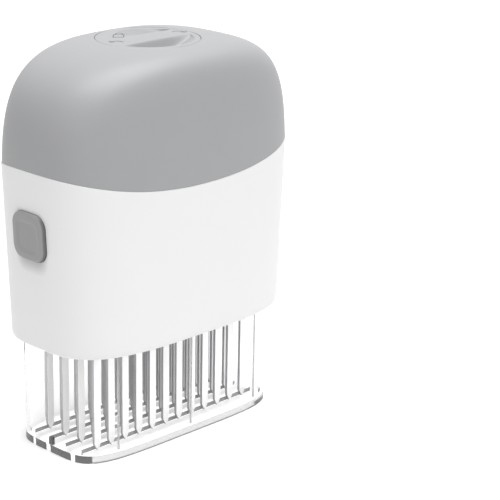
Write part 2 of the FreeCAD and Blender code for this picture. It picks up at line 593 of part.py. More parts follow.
def make_guard_foot():
    plate = guard_oval(0.0, 0.0, FOOT_THICKNESS)
    plate = plate.makeFillet(FOOT_EDGE_ROUND, edges_at_height(plate, 0.0))
    holes = []
    for row in range(BLADE_ROWS):
        y = blade_places(row)[0][1]
        holes.append(box((-FOOT_SLOT_HALF_LENGTH, y - FOOT_SLOT_WIDTH / 2.0, -OVERRUN),
                         (FOOT_SLOT_HALF_LENGTH, y + FOOT_SLOT_WIDTH / 2.0, FOOT_THICKNESS + OVERRUN)))
    for y in (-FOOT_NOTCH_Y, FOOT_NOTCH_Y):
        notch = box((0, y - FOOT_NOTCH_HALF_WIDTH, -OVERRUN),
                    (REACH, y + FOOT_NOTCH_HALF_WIDTH, FOOT_THICKNESS + OVERRUN))
        notch = notch.cut(guard_oval(FOOT_NOTCH_DEPTH, -2.0 * OVERRUN, FOOT_THICKNESS + 2.0 * OVERRUN))
        notch = notch.common(box((FOOT_SLOT_HALF_LENGTH, -REACH, -OVERRUN), (REACH, REACH, REACH)))
        holes += [notch, turned_about_z(notch, 180)]
    tab_outer_x = GUARD_HALF_LENGTH - GUARD_WALL - FOOT_TAB_CLEARANCE
    tab = box((tab_outer_x - FOOT_TAB_THICKNESS, -FOOT_TAB_HALF_WIDTH, FOOT_THICKNESS - OVERRUN),
              (tab_outer_x, FOOT_TAB_HALF_WIDTH, FOOT_THICKNESS + FOOT_TAB_HEIGHT))
    return plate.cut(holes).fuse([tab, turned_about_z(tab, 180)])


# ---------------------------------------------------------------- springs

def make_return_spring(x, y):
    spring = coil(SPRING_RADIUS, SPRING_WIRE_RADIUS, SPRING_TURNS, FLANGE_BOTTOM_Z - GUARD_FLANGE_TOP_Z)
    spring.translate(Vector(x, y, GUARD_FLANGE_TOP_Z))
    return spring


def make_button_spring(turn):
    length = BUTTON_BACK_X + BUTTON_POCKET_DEPTH - BRACKET_FACE_X
    spring = coil(BUTTON_SPRING_RADIUS, BUTTON_SPRING_WIRE_RADIUS, BUTTON_SPRING_TURNS, length)
    spring.rotate(Vector(0, 0, 0), Vector(0, 1, 0), 90)
    spring.translate(Vector(BRACKET_FACE_X, 0, BUTTON_Z))
    return turned_about_z(spring, turn)


# ---------------------------------------------------------------- buttons, knob and lock

def make_release_button(turn):
    cap = button_prism(0.0, BUTTON_BACK_X, REACH)
    cap = cap.common(handle_outline(-BUTTON_PROUD, BODY_BOTTOM_Z, TAPER_TOP_Z))
    face_edges = [edge for edge in cap.Edges if edge.BoundBox.XMin > BODY_BOTTOM_HALF_LENGTH]
    cap = cap.makeFillet(BUTTON_EDGE_ROUND, face_edges)
    rim = button_prism(BUTTON_RIM, BUTTON_BACK_X, REACH)
    rim = rim.common(handle_outline(BODY_WALL + BUTTON_RIM_GAP, BODY_BOTTOM_Z, TAPER_TOP_Z))
    pocket = Part.makeCylinder(BUTTON_POCKET_RADIUS, BUTTON_POCKET_DEPTH + OVERRUN,
                               Vector(BUTTON_BACK_X - OVERRUN, 0, BUTTON_Z), Vector(1, 0, 0))
    return turned_about_z(cap.fuse(rim).cut(pocket), turn)


def make_lock_knob():
    disc = cylinder(KNOB_RADIUS, KNOB_BOTTOM_Z, KNOB_TOP_Z + OVERRUN)
    crown = Part.makeSphere(KNOB_CROWN_RADIUS, Vector(0, 0, KNOB_TOP_Z - KNOB_CROWN_RADIUS))
    disc = disc.common(crown)
    rim = []
    for edge in disc.Edges:
        if edge.BoundBox.ZMin > KNOB_BOTTOM_Z + OVERRUN and edge.Closed:
            rim.append(edge)
    disc = disc.makeFillet(KNOB_EDGE_ROUND, rim)
    recess_radius = KNOB_RADIUS - KNOB_RIM_WIDTH
    tank = cylinder(recess_radius, KNOB_BOTTOM_Z, KNOB_TOP_Z + OVERRUN)
    above_floor = Part.makePolygon([
        Vector(-KNOB_RADIUS, -KNOB_RADIUS, KNOB_TOP_Z - KNOB_RECESS_DEEP),
        Vector(KNOB_RADIUS, -KNOB_RADIUS, KNOB_TOP_Z - KNOB_RECESS_SHALLOW),
        Vector(KNOB_RADIUS, -KNOB_RADIUS, KNOB_TOP_Z + OVERRUN),
        Vector(-KNOB_RADIUS, -KNOB_RADIUS, KNOB_TOP_Z + OVERRUN),
        Vector(-KNOB_RADIUS, -KNOB_RADIUS, KNOB_TOP_Z - KNOB_RECESS_DEEP),
    ])
    wedge = Part.Face(above_floor).extrude(Vector(0, KNOB_RADIUS - KNOB_BAR_HALF_WIDTH, 0))
    recess = tank.common(wedge)
    stem = cylinder(STEM_RADIUS, CAM_TOP_Z, KNOB_BOTTOM_Z + OVERRUN)
    key = cylinder(STEM_KEY_RADIUS, CAM_Z, CAM_TOP_Z + OVERRUN).common(
        box((-REACH, -REACH, CAM_Z), (STEM_KEY_FLAT, REACH, CAM_TOP_Z + OVERRUN)))
    groove = cylinder(STEM_RADIUS + OVERRUN, CLIP_TOP_Z - CLIP_THICKNESS, CLIP_TOP_Z)
    groove = groove.cut(cylinder(STEM_RADIUS - CLIP_GROOVE_DEPTH, CLIP_TOP_Z - CLIP_THICKNESS, CLIP_TOP_Z))
    pilot = cylinder(SCREW_RADIUS + SCREW_PILOT_CLEARANCE, CAM_Z - OVERRUN, CAM_Z + STEM_PILOT_DEPTH)
    knob = disc.cut([recess, turned_about_z(recess, 180)])
    return knob.fuse([stem, key]).cut([groove, pilot])


def make_knob_retaining_clip():
    low_z = CLIP_TOP_Z - CLIP_THICKNESS
    ring = cylinder(CLIP_RADIUS, low_z, CLIP_TOP_Z)
    bore = cylinder(STEM_RADIUS - CLIP_GROOVE_DEPTH, low_z - OVERRUN, CLIP_TOP_Z + OVERRUN)
    mouth = box((0, -CLIP_MOUTH / 2.0, low_z - OVERRUN), (REACH, CLIP_MOUTH / 2.0, CLIP_TOP_Z + OVERRUN))
    return ring.cut([bore, mouth])


def make_lock_cam():
    reach = GUARD_HALF_WIDTH - GUARD_WALL - CAM_LOBE_CLEARANCE
    lobes = centred_box(reach, CAM_LOBE_HALF_WIDTH, CAM_Z, CAM_TOP_Z)
    lobes = lobes.common(cylinder(reach, CAM_Z, CAM_TOP_Z))
    keyway = cylinder(STEM_KEY_RADIUS + CAM_KEY_CLEARANCE, CAM_Z - OVERRUN, CAM_TOP_Z + OVERRUN).common(
        box((-REACH, -REACH, CAM_Z - OVERRUN),
            (STEM_KEY_FLAT + CAM_KEY_CLEARANCE, REACH, CAM_TOP_Z + OVERRUN)))
    return cylinder(CAM_HUB_RADIUS, CAM_Z, CAM_TOP_Z).fuse(lobes).removeSplitter().cut(keyway)


def make_cam_washer():
    low_z = CAM_Z - CAM_WASHER_THICKNESS
    hole = cylinder(SCREW_RADIUS + SCREW_HOLE_CLEARANCE, low_z - OVERRUN, CAM_Z + OVERRUN)
    return cylinder(CAM_WASHER_RADIUS, low_z, CAM_Z).cut(hole)


def make_cam_screw():
    return screw(0.0, 0.0, CAM_Z - CAM_WASHER_THICKNESS, CAM_SCREW_LENGTH)


# ---------------------------------------------------------------- nodes

def make_parts():
    parts = {
        "dome_cap": make_dome_cap(),
        "knob_well": make_knob_well(),
        "body_shell": make_body_shell(),
        "inner_frame": make_inner_frame(),
        "blade_holder": make_blade_holder(),
        "blade_clamp_plate": make_blade_clamp_plate(),
        "handle_screws": make_handle_screws(),
        "clamp_screws": make_clamp_screws(),
        "spring_guide_rods": make_spring_guide_rods(),
        "guard_sleeve": make_guard_sleeve(),
        "guard_foot": make_guard_foot(),
        "left_release_button": make_release_button(180),
        "right_release_button": make_release_button(0),
        "left_button_spring": make_button_spring(180),
        "right_button_spring": make_button_spring(0),
        "lock_knob": make_lock_knob(),
        "knob_retaining_clip": make_knob_retaining_clip(),
        "lock_cam": make_lock_cam(),
        "cam_washer": make_cam_washer(),
        "cam_screw": make_cam_screw(),
    }
    for row in range(BLADE_ROWS):
        parts["blade_row_%d" % (row + 1)] = make_blade_row(row)
    for end, x in (("left", -SPRING_X), ("right", SPRING_X)):
        for side, y in (("front", -SPRING_Y), ("rear", SPRING_Y)):
            parts["%s_%s_return_spring" % (end, side)] = make_return_spring(x, y)
    return parts


os.makedirs("parts", exist_ok=True)
for name, shape in make_parts().items():
    shape.exportStep("parts/%s.step" % name)
    state = (name, len(shape.Solids), shape.Volume, shape.isValid())
    print("%-26s solids %2d  volume %10.1f  valid %s" % state)
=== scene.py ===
import json
import math

import bmesh
import bpy
import numpy as np
from mathutils import Matrix, Vector


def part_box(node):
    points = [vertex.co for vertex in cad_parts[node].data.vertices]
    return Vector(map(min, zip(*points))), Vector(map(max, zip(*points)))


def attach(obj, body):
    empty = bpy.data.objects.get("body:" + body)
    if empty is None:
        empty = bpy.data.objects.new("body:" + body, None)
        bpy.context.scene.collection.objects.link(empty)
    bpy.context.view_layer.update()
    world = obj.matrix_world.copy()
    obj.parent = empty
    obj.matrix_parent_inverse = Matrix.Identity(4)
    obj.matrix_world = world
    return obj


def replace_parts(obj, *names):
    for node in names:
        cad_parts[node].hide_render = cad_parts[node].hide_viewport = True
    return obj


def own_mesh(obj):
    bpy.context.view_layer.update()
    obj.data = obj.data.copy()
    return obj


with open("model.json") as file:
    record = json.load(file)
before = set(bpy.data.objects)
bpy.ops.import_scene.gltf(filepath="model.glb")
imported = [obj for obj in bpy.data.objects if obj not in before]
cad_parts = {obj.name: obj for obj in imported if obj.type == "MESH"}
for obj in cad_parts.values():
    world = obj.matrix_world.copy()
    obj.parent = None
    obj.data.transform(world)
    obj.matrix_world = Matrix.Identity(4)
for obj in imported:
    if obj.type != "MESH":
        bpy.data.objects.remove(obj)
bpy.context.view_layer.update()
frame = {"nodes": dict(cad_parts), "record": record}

# Blade meat tenderizer: a hand press with a clear sprung guard round four rows of knife blades.
# X runs along the press, from button to button, Y runs across it and Z points up.
# Lengths here are in millimetres, and MM turns them into the frame's metres.
MM = 0.001


def node_box(node):
    """Lowest and highest corner of a CAD node, in millimetres."""
    low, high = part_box(node)
    return low / MM, high / MM


# Outline of the handle: an oval between an ellipse and a rectangle, narrower at its lower end
HANDLE_HALF_LENGTH = 60.3
HANDLE_HALF_WIDTH = 32.3
HANDLE_SQUARENESS = 3.34
TAPER_TOP_Z = 115.0
BODY_BOTTOM_Z = node_box("body_shell")[0].z
BODY_BOTTOM_HALF_LENGTH = 57.0
BODY_BOTTOM_HALF_WIDTH = 31.8

# Seam between body and dome, an arc that climbs towards both ends
SEAM_MID_Z = 105.8
SEAM_RADIUS = 204.0
SEAM_CENTRE_Z = SEAM_MID_Z + SEAM_RADIUS
SEAM_GAP = 0.06
SEAM_ROUND = 0.12
SEAM_SEARCH_STEPS = 8

# Outline of the guard, which the mouth of the body follows
GUARD_HALF_LENGTH = 51.7
GUARD_HALF_WIDTH = 24.5
GUARD_SQUARENESS = 4.8
GUARD_WALL = 1.8


# ---------------- mesh helpers

COLUMNS = 320
TURN = np.arange(COLUMNS) * 2.0 * math.pi / COLUMNS
MERGE_DISTANCE = 0.0001


def row(x, y, z):
    """Points from three coordinates, each a number or one value for every point."""
    return np.stack(np.broadcast_arrays(x, y, z), axis=1)


def oval_row(half_length, half_width, squareness, z):
    """An oval round the Z axis, whose sizes and height may differ from point to point."""
    cosine, sine = np.cos(TURN), np.sin(TURN)
    reach = (np.abs(cosine) ** squareness + np.abs(sine) ** squareness) ** (-1.0 / squareness)
    return row(half_length * reach * cosine, half_width * reach * sine, z)


def oval_side(half, across, half_across, squareness):
    """How far an oval's wall is from its middle, where the other coordinate is across."""
    return half * (1.0 - (np.abs(across) / half_across) ** squareness) ** (1.0 / squareness)


def circle(sides, radius, z, x=0.0, y=0.0):
    turn = np.arange(sides) * 2.0 * math.pi / sides
    return row(x + radius * np.cos(turn), y + radius * np.sin(turn), z)


def circle_row(points, radius, z):
    """A round row whose points keep the directions of the row given."""
    reach = np.hypot(points[:, 0], points[:, 1])
    return row(points[:, 0] * radius / reach, points[:, 1] * radius / reach, z)


def rectangle(low_x, high_x, low_y, high_y, z):
    return [(low_x, low_y, z), (high_x, low_y, z), (high_x, high_y, z), (low_x, high_y, z)]


def rounding(radius, steps=4):
    """A rounded edge from its face to its wall, as pairs of distances from the wall and from the face."""
    angles = [math.pi / 2.0 * step / steps for step in range(steps + 1)]
    return [(radius * (1.0 - math.sin(angle)), radius * (1.0 - math.cos(angle))) for angle in angles]


def grid_edge(grid):
    """The outermost points of a grid of point numbers, once round."""
    return np.concatenate([grid[0, :-1], grid[:-1, -1], grid[-1, :0:-1], grid[:0:-1, 0]]).tolist()


def smooth_step(share):
    share = np.clip(share, 0.0, 1.0)
    return share * share * (3.0 - 2.0 * share)


class Shell:
    """Points and faces of one piece, gathered ring by ring."""

    def __init__(self):
        self.verts = []
        self.faces = []

    def ring(self, points):
        start = len(self.verts)
        self.verts.extend(points)
        return list(range(start, len(self.verts)))

    def join(self, rings):
        """Faces between each ring and the next."""
        for low, high in zip(rings, rings[1:]):
            for i in range(len(low)):
                j = (i + 1) % len(low)
                self.faces.append((low[i], low[j], high[j], high[i]))

    def loft(self, rows, closed=False):
        rings = [self.ring(points) for points in rows]
        self.join(rings + rings[:1] if closed else rings)
        return rings

    def cap(self, ring, centre):
        """Closes a ring with a fan round its centre."""
        middle = self.ring([centre])[0]
        for i in range(len(ring)):
            self.faces.append((ring[i], ring[(i + 1) % len(ring)], middle))

    def bar(self, rows):
        """A loft whose first and last row are flat ends."""
        rings = self.loft(rows)
        self.faces += [tuple(reversed(rings[0])), tuple(rings[-1])]


def new_object(name, verts, faces, body, sharp=35.0):
    """A smooth-shaded piece from points in millimetres, which rides on a CAD body."""
    mesh = bpy.data.meshes.new(name)
    mesh.from_pydata((np.array(verts) * MM).tolist(), [], faces)
    work = bmesh.new()
    work.from_mesh(mesh)
    bmesh.ops.remove_doubles(work, verts=work.verts, dist=MERGE_DISTANCE * MM)
    bmesh.ops.recalc_face_normals(work, faces=work.faces)
    work.to_mesh(mesh)
    work.free()
    mesh.shade_smooth()
    mesh.set_sharp_from_angle(angle=math.radians(sharp))
    piece = bpy.data.objects.new(name, mesh)
    bpy.context.scene.collection.objects.link(piece)
    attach(piece, body)
    return piece


# ---------------- dome cap

CROWN_Z = node_box("lock_knob")[1].z
DOME_WALL = 2.4
DOME_ROOF = 2.6
DOME_ARCH_POWER = 3.5
DOME_SHOULDER_POWER = 8.9
DOME_SHOULDER_SQUARENESS = 6.0
DOME_TOP_SQUARENESS = 2.8
DOME_STEPS = 90
DOME_INNER_RISES = (0.94, 0.85, 0.7, 0.5, 0.3)
WELL_RADIUS = 20.4
WELL_WALL = 2.15
WELL_WALL_DROP = 1.0
WELL_FLOOR_Z = 147.3
WELL_FLOOR_TOP_Z = 149.5
WELL_ROUND = 0.08
WELL_SEARCH_RISES = (0.5, 0.99999)
WELL_SEARCH_STEPS = 40
BUSH_RADIUS = 7.0
BUSH_BORE = 4.05
BUSH_BOTTOM_Z = 141.1


def seam_height(x, radius):
    """Height of the seam's arc above the point x."""
    return SEAM_CENTRE_Z - np.sqrt(radius ** 2 - x ** 2)


def dome_row(rise, inset=0.0, crown_z=CROWN_Z):
    """The dome's outline where each point has climbed the share rise from the seam to the crown."""
    arch = oval_side(1.0, rise, 1.0, DOME_ARCH_POWER)
    shoulder = (1.0 - rise ** DOME_SHOULDER_POWER) ** (1.0 / DOME_SHOULDER_SQUARENESS)
    squareness = HANDLE_SQUARENESS + (DOME_TOP_SQUARENESS - HANDLE_SQUARENESS) * rise
    return oval_row((HANDLE_HALF_LENGTH - inset) * arch, (HANDLE_HALF_WIDTH - inset) * shoulder, squareness,
                    SEAM_MID_Z + (crown_z - SEAM_MID_Z) * rise)


def dome_rise_at_seam(inset, lift):
    """Share of the climb at which the dome is lift above the seam, for each point of the outline."""
    rise = np.zeros(COLUMNS)
    for _ in range(SEAM_SEARCH_STEPS):
        seam_z = seam_height(dome_row(rise, inset)[:, 0], SEAM_RADIUS)
        rise = (seam_z + lift - SEAM_MID_Z) / (CROWN_Z - SEAM_MID_Z)
    return rise


def dome_rise_at_radius(radius):
    """Share of the climb at which the dome has closed in to a circle round the crown."""
    low, high = [np.full(COLUMNS, rise) for rise in WELL_SEARCH_RISES]
    for _ in range(WELL_SEARCH_STEPS):
        middle = (low + high) / 2.0
        points = dome_row(middle)
        outside = np.hypot(points[:, 0], points[:, 1]) > radius
        low, high = np.where(outside, middle, low), np.where(outside, high, middle)
    return (low + high) / 2.0


def arch_angle(rise):
    """Direction, seen from the middle of the seam, of a share of the climb; arch_rise undoes it."""
    return np.arctan2(rise, oval_side(1.0, rise, 1.0, DOME_ARCH_POWER))


def arch_rise(angle):
    across = np.cos(angle) ** DOME_ARCH_POWER + np.sin(angle) ** DOME_ARCH_POWER
    return np.sin(angle) * across ** (-1.0 / DOME_ARCH_POWER)


def make_dome_cap():
    """The dome with its inside, and the knob's well and bush, as one closed loft."""
    shell = Shell()
    rows = [dome_row(dome_rise_at_seam(DOME_WALL, 0.0), DOME_WALL)]
    rows += [dome_row(dome_rise_at_seam(inset, lift), inset) for inset, lift in rounding(SEAM_ROUND)]
    low_angle = arch_angle(dome_rise_at_seam(0.0, SEAM_ROUND))
    high_angle = arch_angle(dome_rise_at_radius(WELL_RADIUS + WELL_ROUND))
    rows += [dome_row(arch_rise(angle)) for angle in np.linspace(low_angle, high_angle, DOME_STEPS + 1)[1:]]
    crest = rows[-1]
    for grow, drop in rounding(WELL_ROUND)[1:]:
        rows.append(circle_row(crest, WELL_RADIUS + grow, crest[:, 2] - drop))
    well_outside = WELL_RADIUS + WELL_WALL
    profile = ((WELL_RADIUS, WELL_FLOOR_TOP_Z), (BUSH_BORE, WELL_FLOOR_TOP_Z), (BUSH_BORE, BUSH_BOTTOM_Z),
               (BUSH_RADIUS, BUSH_BOTTOM_Z), (BUSH_RADIUS, WELL_FLOOR_Z), (well_outside, WELL_FLOOR_Z),
               (well_outside, CROWN_Z - DOME_ROOF - WELL_WALL_DROP))
    rows += [circle_row(crest, radius, z) for radius, z in profile]
    rows += [dome_row(rise, DOME_WALL, CROWN_Z - DOME_ROOF) for rise in DOME_INNER_RISES]
    shell.loft(rows, closed=True)
    piece = new_object("dome_cap_moulding", shell.verts, shell.faces, "handle")
    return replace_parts(piece, "dome_cap", "knob_well")


# ---------------- body shell

BODY_BOTTOM_ROUND = 0.9
BODY_WALL = 2.2
BODY_LIP_HEIGHT = 2.2
MOUTH_CLEARANCE = 0.5
MOUTH_ROUND = 0.3
SEAM_TONGUE_INSET = DOME_WALL + 0.15
SEAM_TONGUE_WALL = 1.2
SEAM_TONGUE_RISE = 2.5
SEAM_TONGUE_ROOT = 3.0

# Button outline, which the window for it follows
BUTTON_LOW, BUTTON_HIGH = node_box("left_release_button")
BUTTON_Z = (BUTTON_LOW.z + BUTTON_HIGH.z) / 2.0
BUTTON_HALF = 9.2
BUTTON_CORNER = 5.2
BUTTON_NARROWING = 0.96
BUTTON_CLEARANCE = 0.12
CORNER_STEPS = 32
CHORD_STEPS = 24

# Window for a button, cut in a patch of the wall that has even rows
WINDOW_ROUND = 0.15
WINDOW_STEPS = 8
PATCH_HALF_Y = 15.0
PATCH_LOW_Z = 75.0
PATCH_HIGH_Z = 103.5
PATCH_ROWS = 29
ROWS_BELOW_PATCH = 15
ROWS_ABOVE_PATCH = 8
INNER_ROWS_ABOVE_PATCH = 4

# Tubes that the handle screws pass through
COLUMN_X = 43.5
COLUMN_Y = 19.8
COLUMN_RADIUS = 4.0
COLUMN_BORE = 1.7
COLUMN_LOW_Z = 106.5
COLUMN_HIGH_Z = 112.5
COLUMN_SIDES = 48


def handle_halves(z, inset):
    """Half length and half width of the body at the height z."""
    share = (np.minimum(z, TAPER_TOP_Z) - BODY_BOTTOM_Z) / (TAPER_TOP_Z - BODY_BOTTOM_Z)
    return (BODY_BOTTOM_HALF_LENGTH + (HANDLE_HALF_LENGTH - BODY_BOTTOM_HALF_LENGTH) * share - inset,
            BODY_BOTTOM_HALF_WIDTH + (HANDLE_HALF_WIDTH - BODY_BOTTOM_HALF_WIDTH) * share - inset)


def handle_row(z, inset=0.0):
    """The body's outline at a height, which may differ from point to point."""
    return oval_row(*handle_halves(z, inset), HANDLE_SQUARENESS, z)


def handle_x(y, z, inset):
    """How far the body's wall is from its middle at a point of its end."""
    half_length, half_width = handle_halves(z, inset)
    return oval_side(half_length, y, half_width, HANDLE_SQUARENESS)


def handle_row_at_seam(inset, lift):
    """The body's outline lift above its upper edge."""
    z = SEAM_MID_Z
    for _ in range(SEAM_SEARCH_STEPS):
        z = seam_height(handle_row(z, inset)[:, 0], SEAM_RADIUS + SEAM_GAP) + lift
    return handle_row(z, inset)


def rounded_square(half, corner, headings):
    """Points (y, z) of a button's outline round its middle, in the directions given."""
    turn = np.linspace(0.0, math.pi / 2.0, CORNER_STEPS + 1)
    arc_y = half - corner + corner * np.cos(turn)
    arc_z = half - corner + corner * np.sin(turn)
    y = np.concatenate([arc_y, -arc_z, -arc_y, arc_z])
    z = np.concatenate([arc_z, arc_y, -arc_z, -arc_y])
    share = np.linspace(0.0, 1.0, CHORD_STEPS, endpoint=False)
    y, z = [(c[:, None] + (np.roll(c, -1) - c)[:, None] * share).ravel() for c in (y, z)]
    known = np.arctan2(z, y)
    y, z = [np.interp(headings, known, c, period=2.0 * math.pi) for c in (y, z)]
    return y * BUTTON_NARROWING, z


def make_body_shell():
    shell = Shell()
    rows = [handle_row(BODY_BOTTOM_Z + rise, inset) for inset, rise in rounding(BODY_BOTTOM_ROUND)]
    low_z = np.linspace(BODY_BOTTOM_Z + BODY_BOTTOM_ROUND, PATCH_LOW_Z, ROWS_BELOW_PATCH + 1)
    rows += [handle_row(z) for z in low_z[1:-1]]
    outer_patch = len(rows)
    patch_z = np.linspace(PATCH_LOW_Z, PATCH_HIGH_Z, PATCH_ROWS)
    rows += [handle_row(z) for z in patch_z]
    top_z = handle_row_at_seam(0.0, -SEAM_ROUND)[:, 2]
    rows += [handle_row(z) for z in np.linspace(PATCH_HIGH_Z, top_z, ROWS_ABOVE_PATCH + 1)[1:]]
    rows += [handle_row_at_seam(inset, -drop) for drop, inset in rounding(SEAM_ROUND)[1:]]

    tongue_top = SEAM_GAP + SEAM_TONGUE_RISE
    tongue_inner = SEAM_TONGUE_INSET + SEAM_TONGUE_WALL
    for inset, lift in ((SEAM_TONGUE_INSET, 0.0), (SEAM_TONGUE_INSET, tongue_top), (tongue_inner, tongue_top),
                        (tongue_inner, -SEAM_TONGUE_ROOT)):
        rows.append(handle_row_at_seam(inset, lift))

    inner_z = handle_row_at_seam(BODY_WALL, -SEAM_TONGUE_ROOT)[:, 2]
    for z in np.linspace(inner_z, PATCH_HIGH_Z, INNER_ROWS_ABOVE_PATCH + 1)[:-1]:
        rows.append(handle_row(z, BODY_WALL))
    inner_patch = len(rows)
    rows += [handle_row(z, BODY_WALL) for z in reversed(patch_z)]
    lip_z = BODY_BOTTOM_Z + BODY_LIP_HEIGHT
    rows.append(handle_row(lip_z, BODY_WALL))
    for grow, z in ((0.0, lip_z), (0.0, BODY_BOTTOM_Z + MOUTH_ROUND), (MOUTH_ROUND, BODY_BOTTOM_Z)):
        rows.append(guard_row(-MOUTH_CLEARANCE - grow, z))
    grid = np.array(shell.loft(rows, closed=True))

    walls = ((grid[outer_patch:outer_patch + PATCH_ROWS], 0.0),
             (grid[inner_patch:inner_patch + PATCH_ROWS][::-1], BODY_WALL))
    half_columns = np.searchsorted(rows[outer_patch][:COLUMNS // 4, 1], PATCH_HALF_Y)
    for side, middle in ((1.0, 0), (-1.0, COLUMNS // 2)):
        columns = np.arange(middle - half_columns, middle + half_columns + 1) % COLUMNS
        cut_window(shell, side, [(wall[:, columns], inset) for wall, inset in walls])
    for x in (-COLUMN_X, COLUMN_X):
        for y in (-COLUMN_Y, COLUMN_Y):
            add_screw_column(shell, x, y)
    piece = new_object("body_shell_moulding", shell.verts, shell.faces, "handle")
    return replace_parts(piece, "body_shell")


def window_ring(shell, side, y, z, inset, depth=0.0):
    """A ring on one end wall of the body, or depth below it, round the middle of the window."""
    x = side * (handle_x(y, z + BUTTON_Z, inset) - depth)
    return shell.ring(row(x, y, z + BUTTON_Z))


def cut_window(shell, side, patches):
    """Opens the rounded window for a button through the outer and inner wall of one end."""
    dropped = {point for patch, _ in patches for point in patch.ravel().tolist()}
    shell.faces = [face for face in shell.faces if not set(face) <= dropped]
    half, corner = BUTTON_HALF + BUTTON_CLEARANCE, BUTTON_CORNER + BUTTON_CLEARANCE
    rims = []
    for patch, inset in patches:
        edges = rounding(WINDOW_ROUND) if inset == 0.0 else [(0.0, 0.0)]
        chain = [grid_edge(patch)]
        points = np.array([shell.verts[i] for i in chain[0]])
        y, z = points[:, 1], points[:, 2] - BUTTON_Z
        heading = np.arctan2(z, y)
        hole_y, hole_z = rounded_square(half + edges[0][0], corner + edges[0][0], heading)
        for share in np.linspace(0.0, 1.0, WINDOW_STEPS + 1)[1:]:
            chain.append(window_ring(shell, side, y + (hole_y - y) * share, z + (hole_z - z) * share, inset))
        for grow, depth in edges[1:]:
            hole_y, hole_z = rounded_square(half + grow, corner + grow, heading)
            chain.append(window_ring(shell, side, hole_y, hole_z, inset, depth))
        shell.join(chain)
        rims.append(chain[-1])
    shell.join(rims)


def add_screw_column(shell, x, y):
    """Tube inside the body that a handle screw passes through."""
    profile = ((COLUMN_BORE, COLUMN_LOW_Z), (COLUMN_RADIUS, COLUMN_LOW_Z), (COLUMN_RADIUS, COLUMN_HIGH_Z),
               (COLUMN_BORE, COLUMN_HIGH_Z))
    shell.loft([circle(COLUMN_SIDES, radius, z, x, y) for radius, z in profile], closed=True)


# ---------------- knob

KNOB_RADIUS = 20.2
KNOB_CROWN_RADIUS = 610.0
KNOB_EDGE_ROUND = 0.1
KNOB_EDGE_STEPS = 5
KNOB_CELLS = 240
KNOB_LOW_DISC_Z = 149.65
BAR_HALF_WIDTH = 5.2
RECESS_RADIUS = 17.9
RECESS_WALL = 2.2
RECESS_FLOOR_POWER = 0.85
RECESS_LEAST_FLOOR = 0.1

# Depth of each finger recess at its two ends, and the values of x between which it climbs
FRONT_RECESS = (5.4, 1.6, 3.0, 17.9)
REAR_RECESS = (3.3, 0.0, -15.0, 7.0)

# The rear recess has the second of the knob's materials, a darker grey painted as shade, above this height
# and below this depth
RECESS_SHADE_MATERIAL = 1
RECESS_SHADE_LOW_Z = KNOB_LOW_DISC_Z + 1.0
RECESS_SHADE_DEPTH = 0.12

# Stem, with a groove for the retaining clip, a key for the cam and a pilot hole for its screw
STEM_RADIUS = 4.0
STEM_TOP_Z = KNOB_LOW_DISC_Z + 0.5
STEM_SIDES = 64
GROOVE_RADIUS = 3.2
GROOVE_LOW_Z = 139.9
GROOVE_HIGH_Z = 140.9
CAM_LOW_Z = 117.0
CAM_HIGH_Z = 120.0
KEY_FLAT = 2.3
PILOT_RADIUS = 1.55
PILOT_TOP_Z = 127.0


def crown_height(x, y):
    return CROWN_Z - KNOB_CROWN_RADIUS + np.sqrt(KNOB_CROWN_RADIUS ** 2 - x ** 2 - y ** 2)


def recess_depth(x, y, deep, shallow, climb_start, climb_end):
    """Depth of a finger recess: a wall along the bar, then a floor that climbs to the rim and to one end."""
    rim_y = -np.sqrt(np.maximum(RECESS_RADIUS ** 2 - x ** 2, 0.0))
    from_rim = (y - rim_y) / np.maximum(-BAR_HALF_WIDTH - rim_y, RECESS_LEAST_FLOOR)
    floor = np.clip(from_rim, 0.0, 1.0) ** RECESS_FLOOR_POWER
    deepest = deep + (shallow - deep) * smooth_step((x - climb_start) / (climb_end - climb_start))
    depth = deepest * floor * smooth_step((-BAR_HALF_WIDTH - y) / RECESS_WALL)
    return np.where(rim_y < -BAR_HALF_WIDTH, depth, 0.0)


def knob_height(x, y):
    return crown_height(x, y) - recess_depth(x, y, *FRONT_RECESS) - recess_depth(-x, -y, *REAR_RECESS)


def add_knob_top(shell):
    """The round top as a square grid bent to a disc, with its rounded edge and the disc under it."""
    share = np.linspace(-1.0, 1.0, KNOB_CELLS + 1)
    across, along = np.meshgrid(share, share)
    top_radius = KNOB_RADIUS - KNOB_EDGE_ROUND
    x = top_radius * across * np.sqrt(1.0 - along ** 2 / 2.0)
    y = top_radius * along * np.sqrt(1.0 - across ** 2 / 2.0)
    points = row(x.ravel(), y.ravel(), knob_height(x, y).ravel())
    grid = np.array(shell.ring(points)).reshape(x.shape)
    corners = np.stack([grid[:-1, :-1], grid[:-1, 1:], grid[1:, 1:], grid[1:, :-1]], axis=-1)
    shell.faces += corners.reshape(-1, 4).tolist()
    edge = grid_edge(grid)
    rim_z = crown_height(top_radius, 0.0)
    side = [(inset, rim_z - drop) for inset, drop in rounding(KNOB_EDGE_ROUND, KNOB_EDGE_STEPS)[1:]]
    side.append((0.0, KNOB_LOW_DISC_Z))
    rings = [edge] + [shell.ring(circle_row(points[edge], KNOB_RADIUS - inset, z)) for inset, z in side]
    shell.join(rings)
    shell.cap(rings[-1], (0.0, 0.0, KNOB_LOW_DISC_Z))


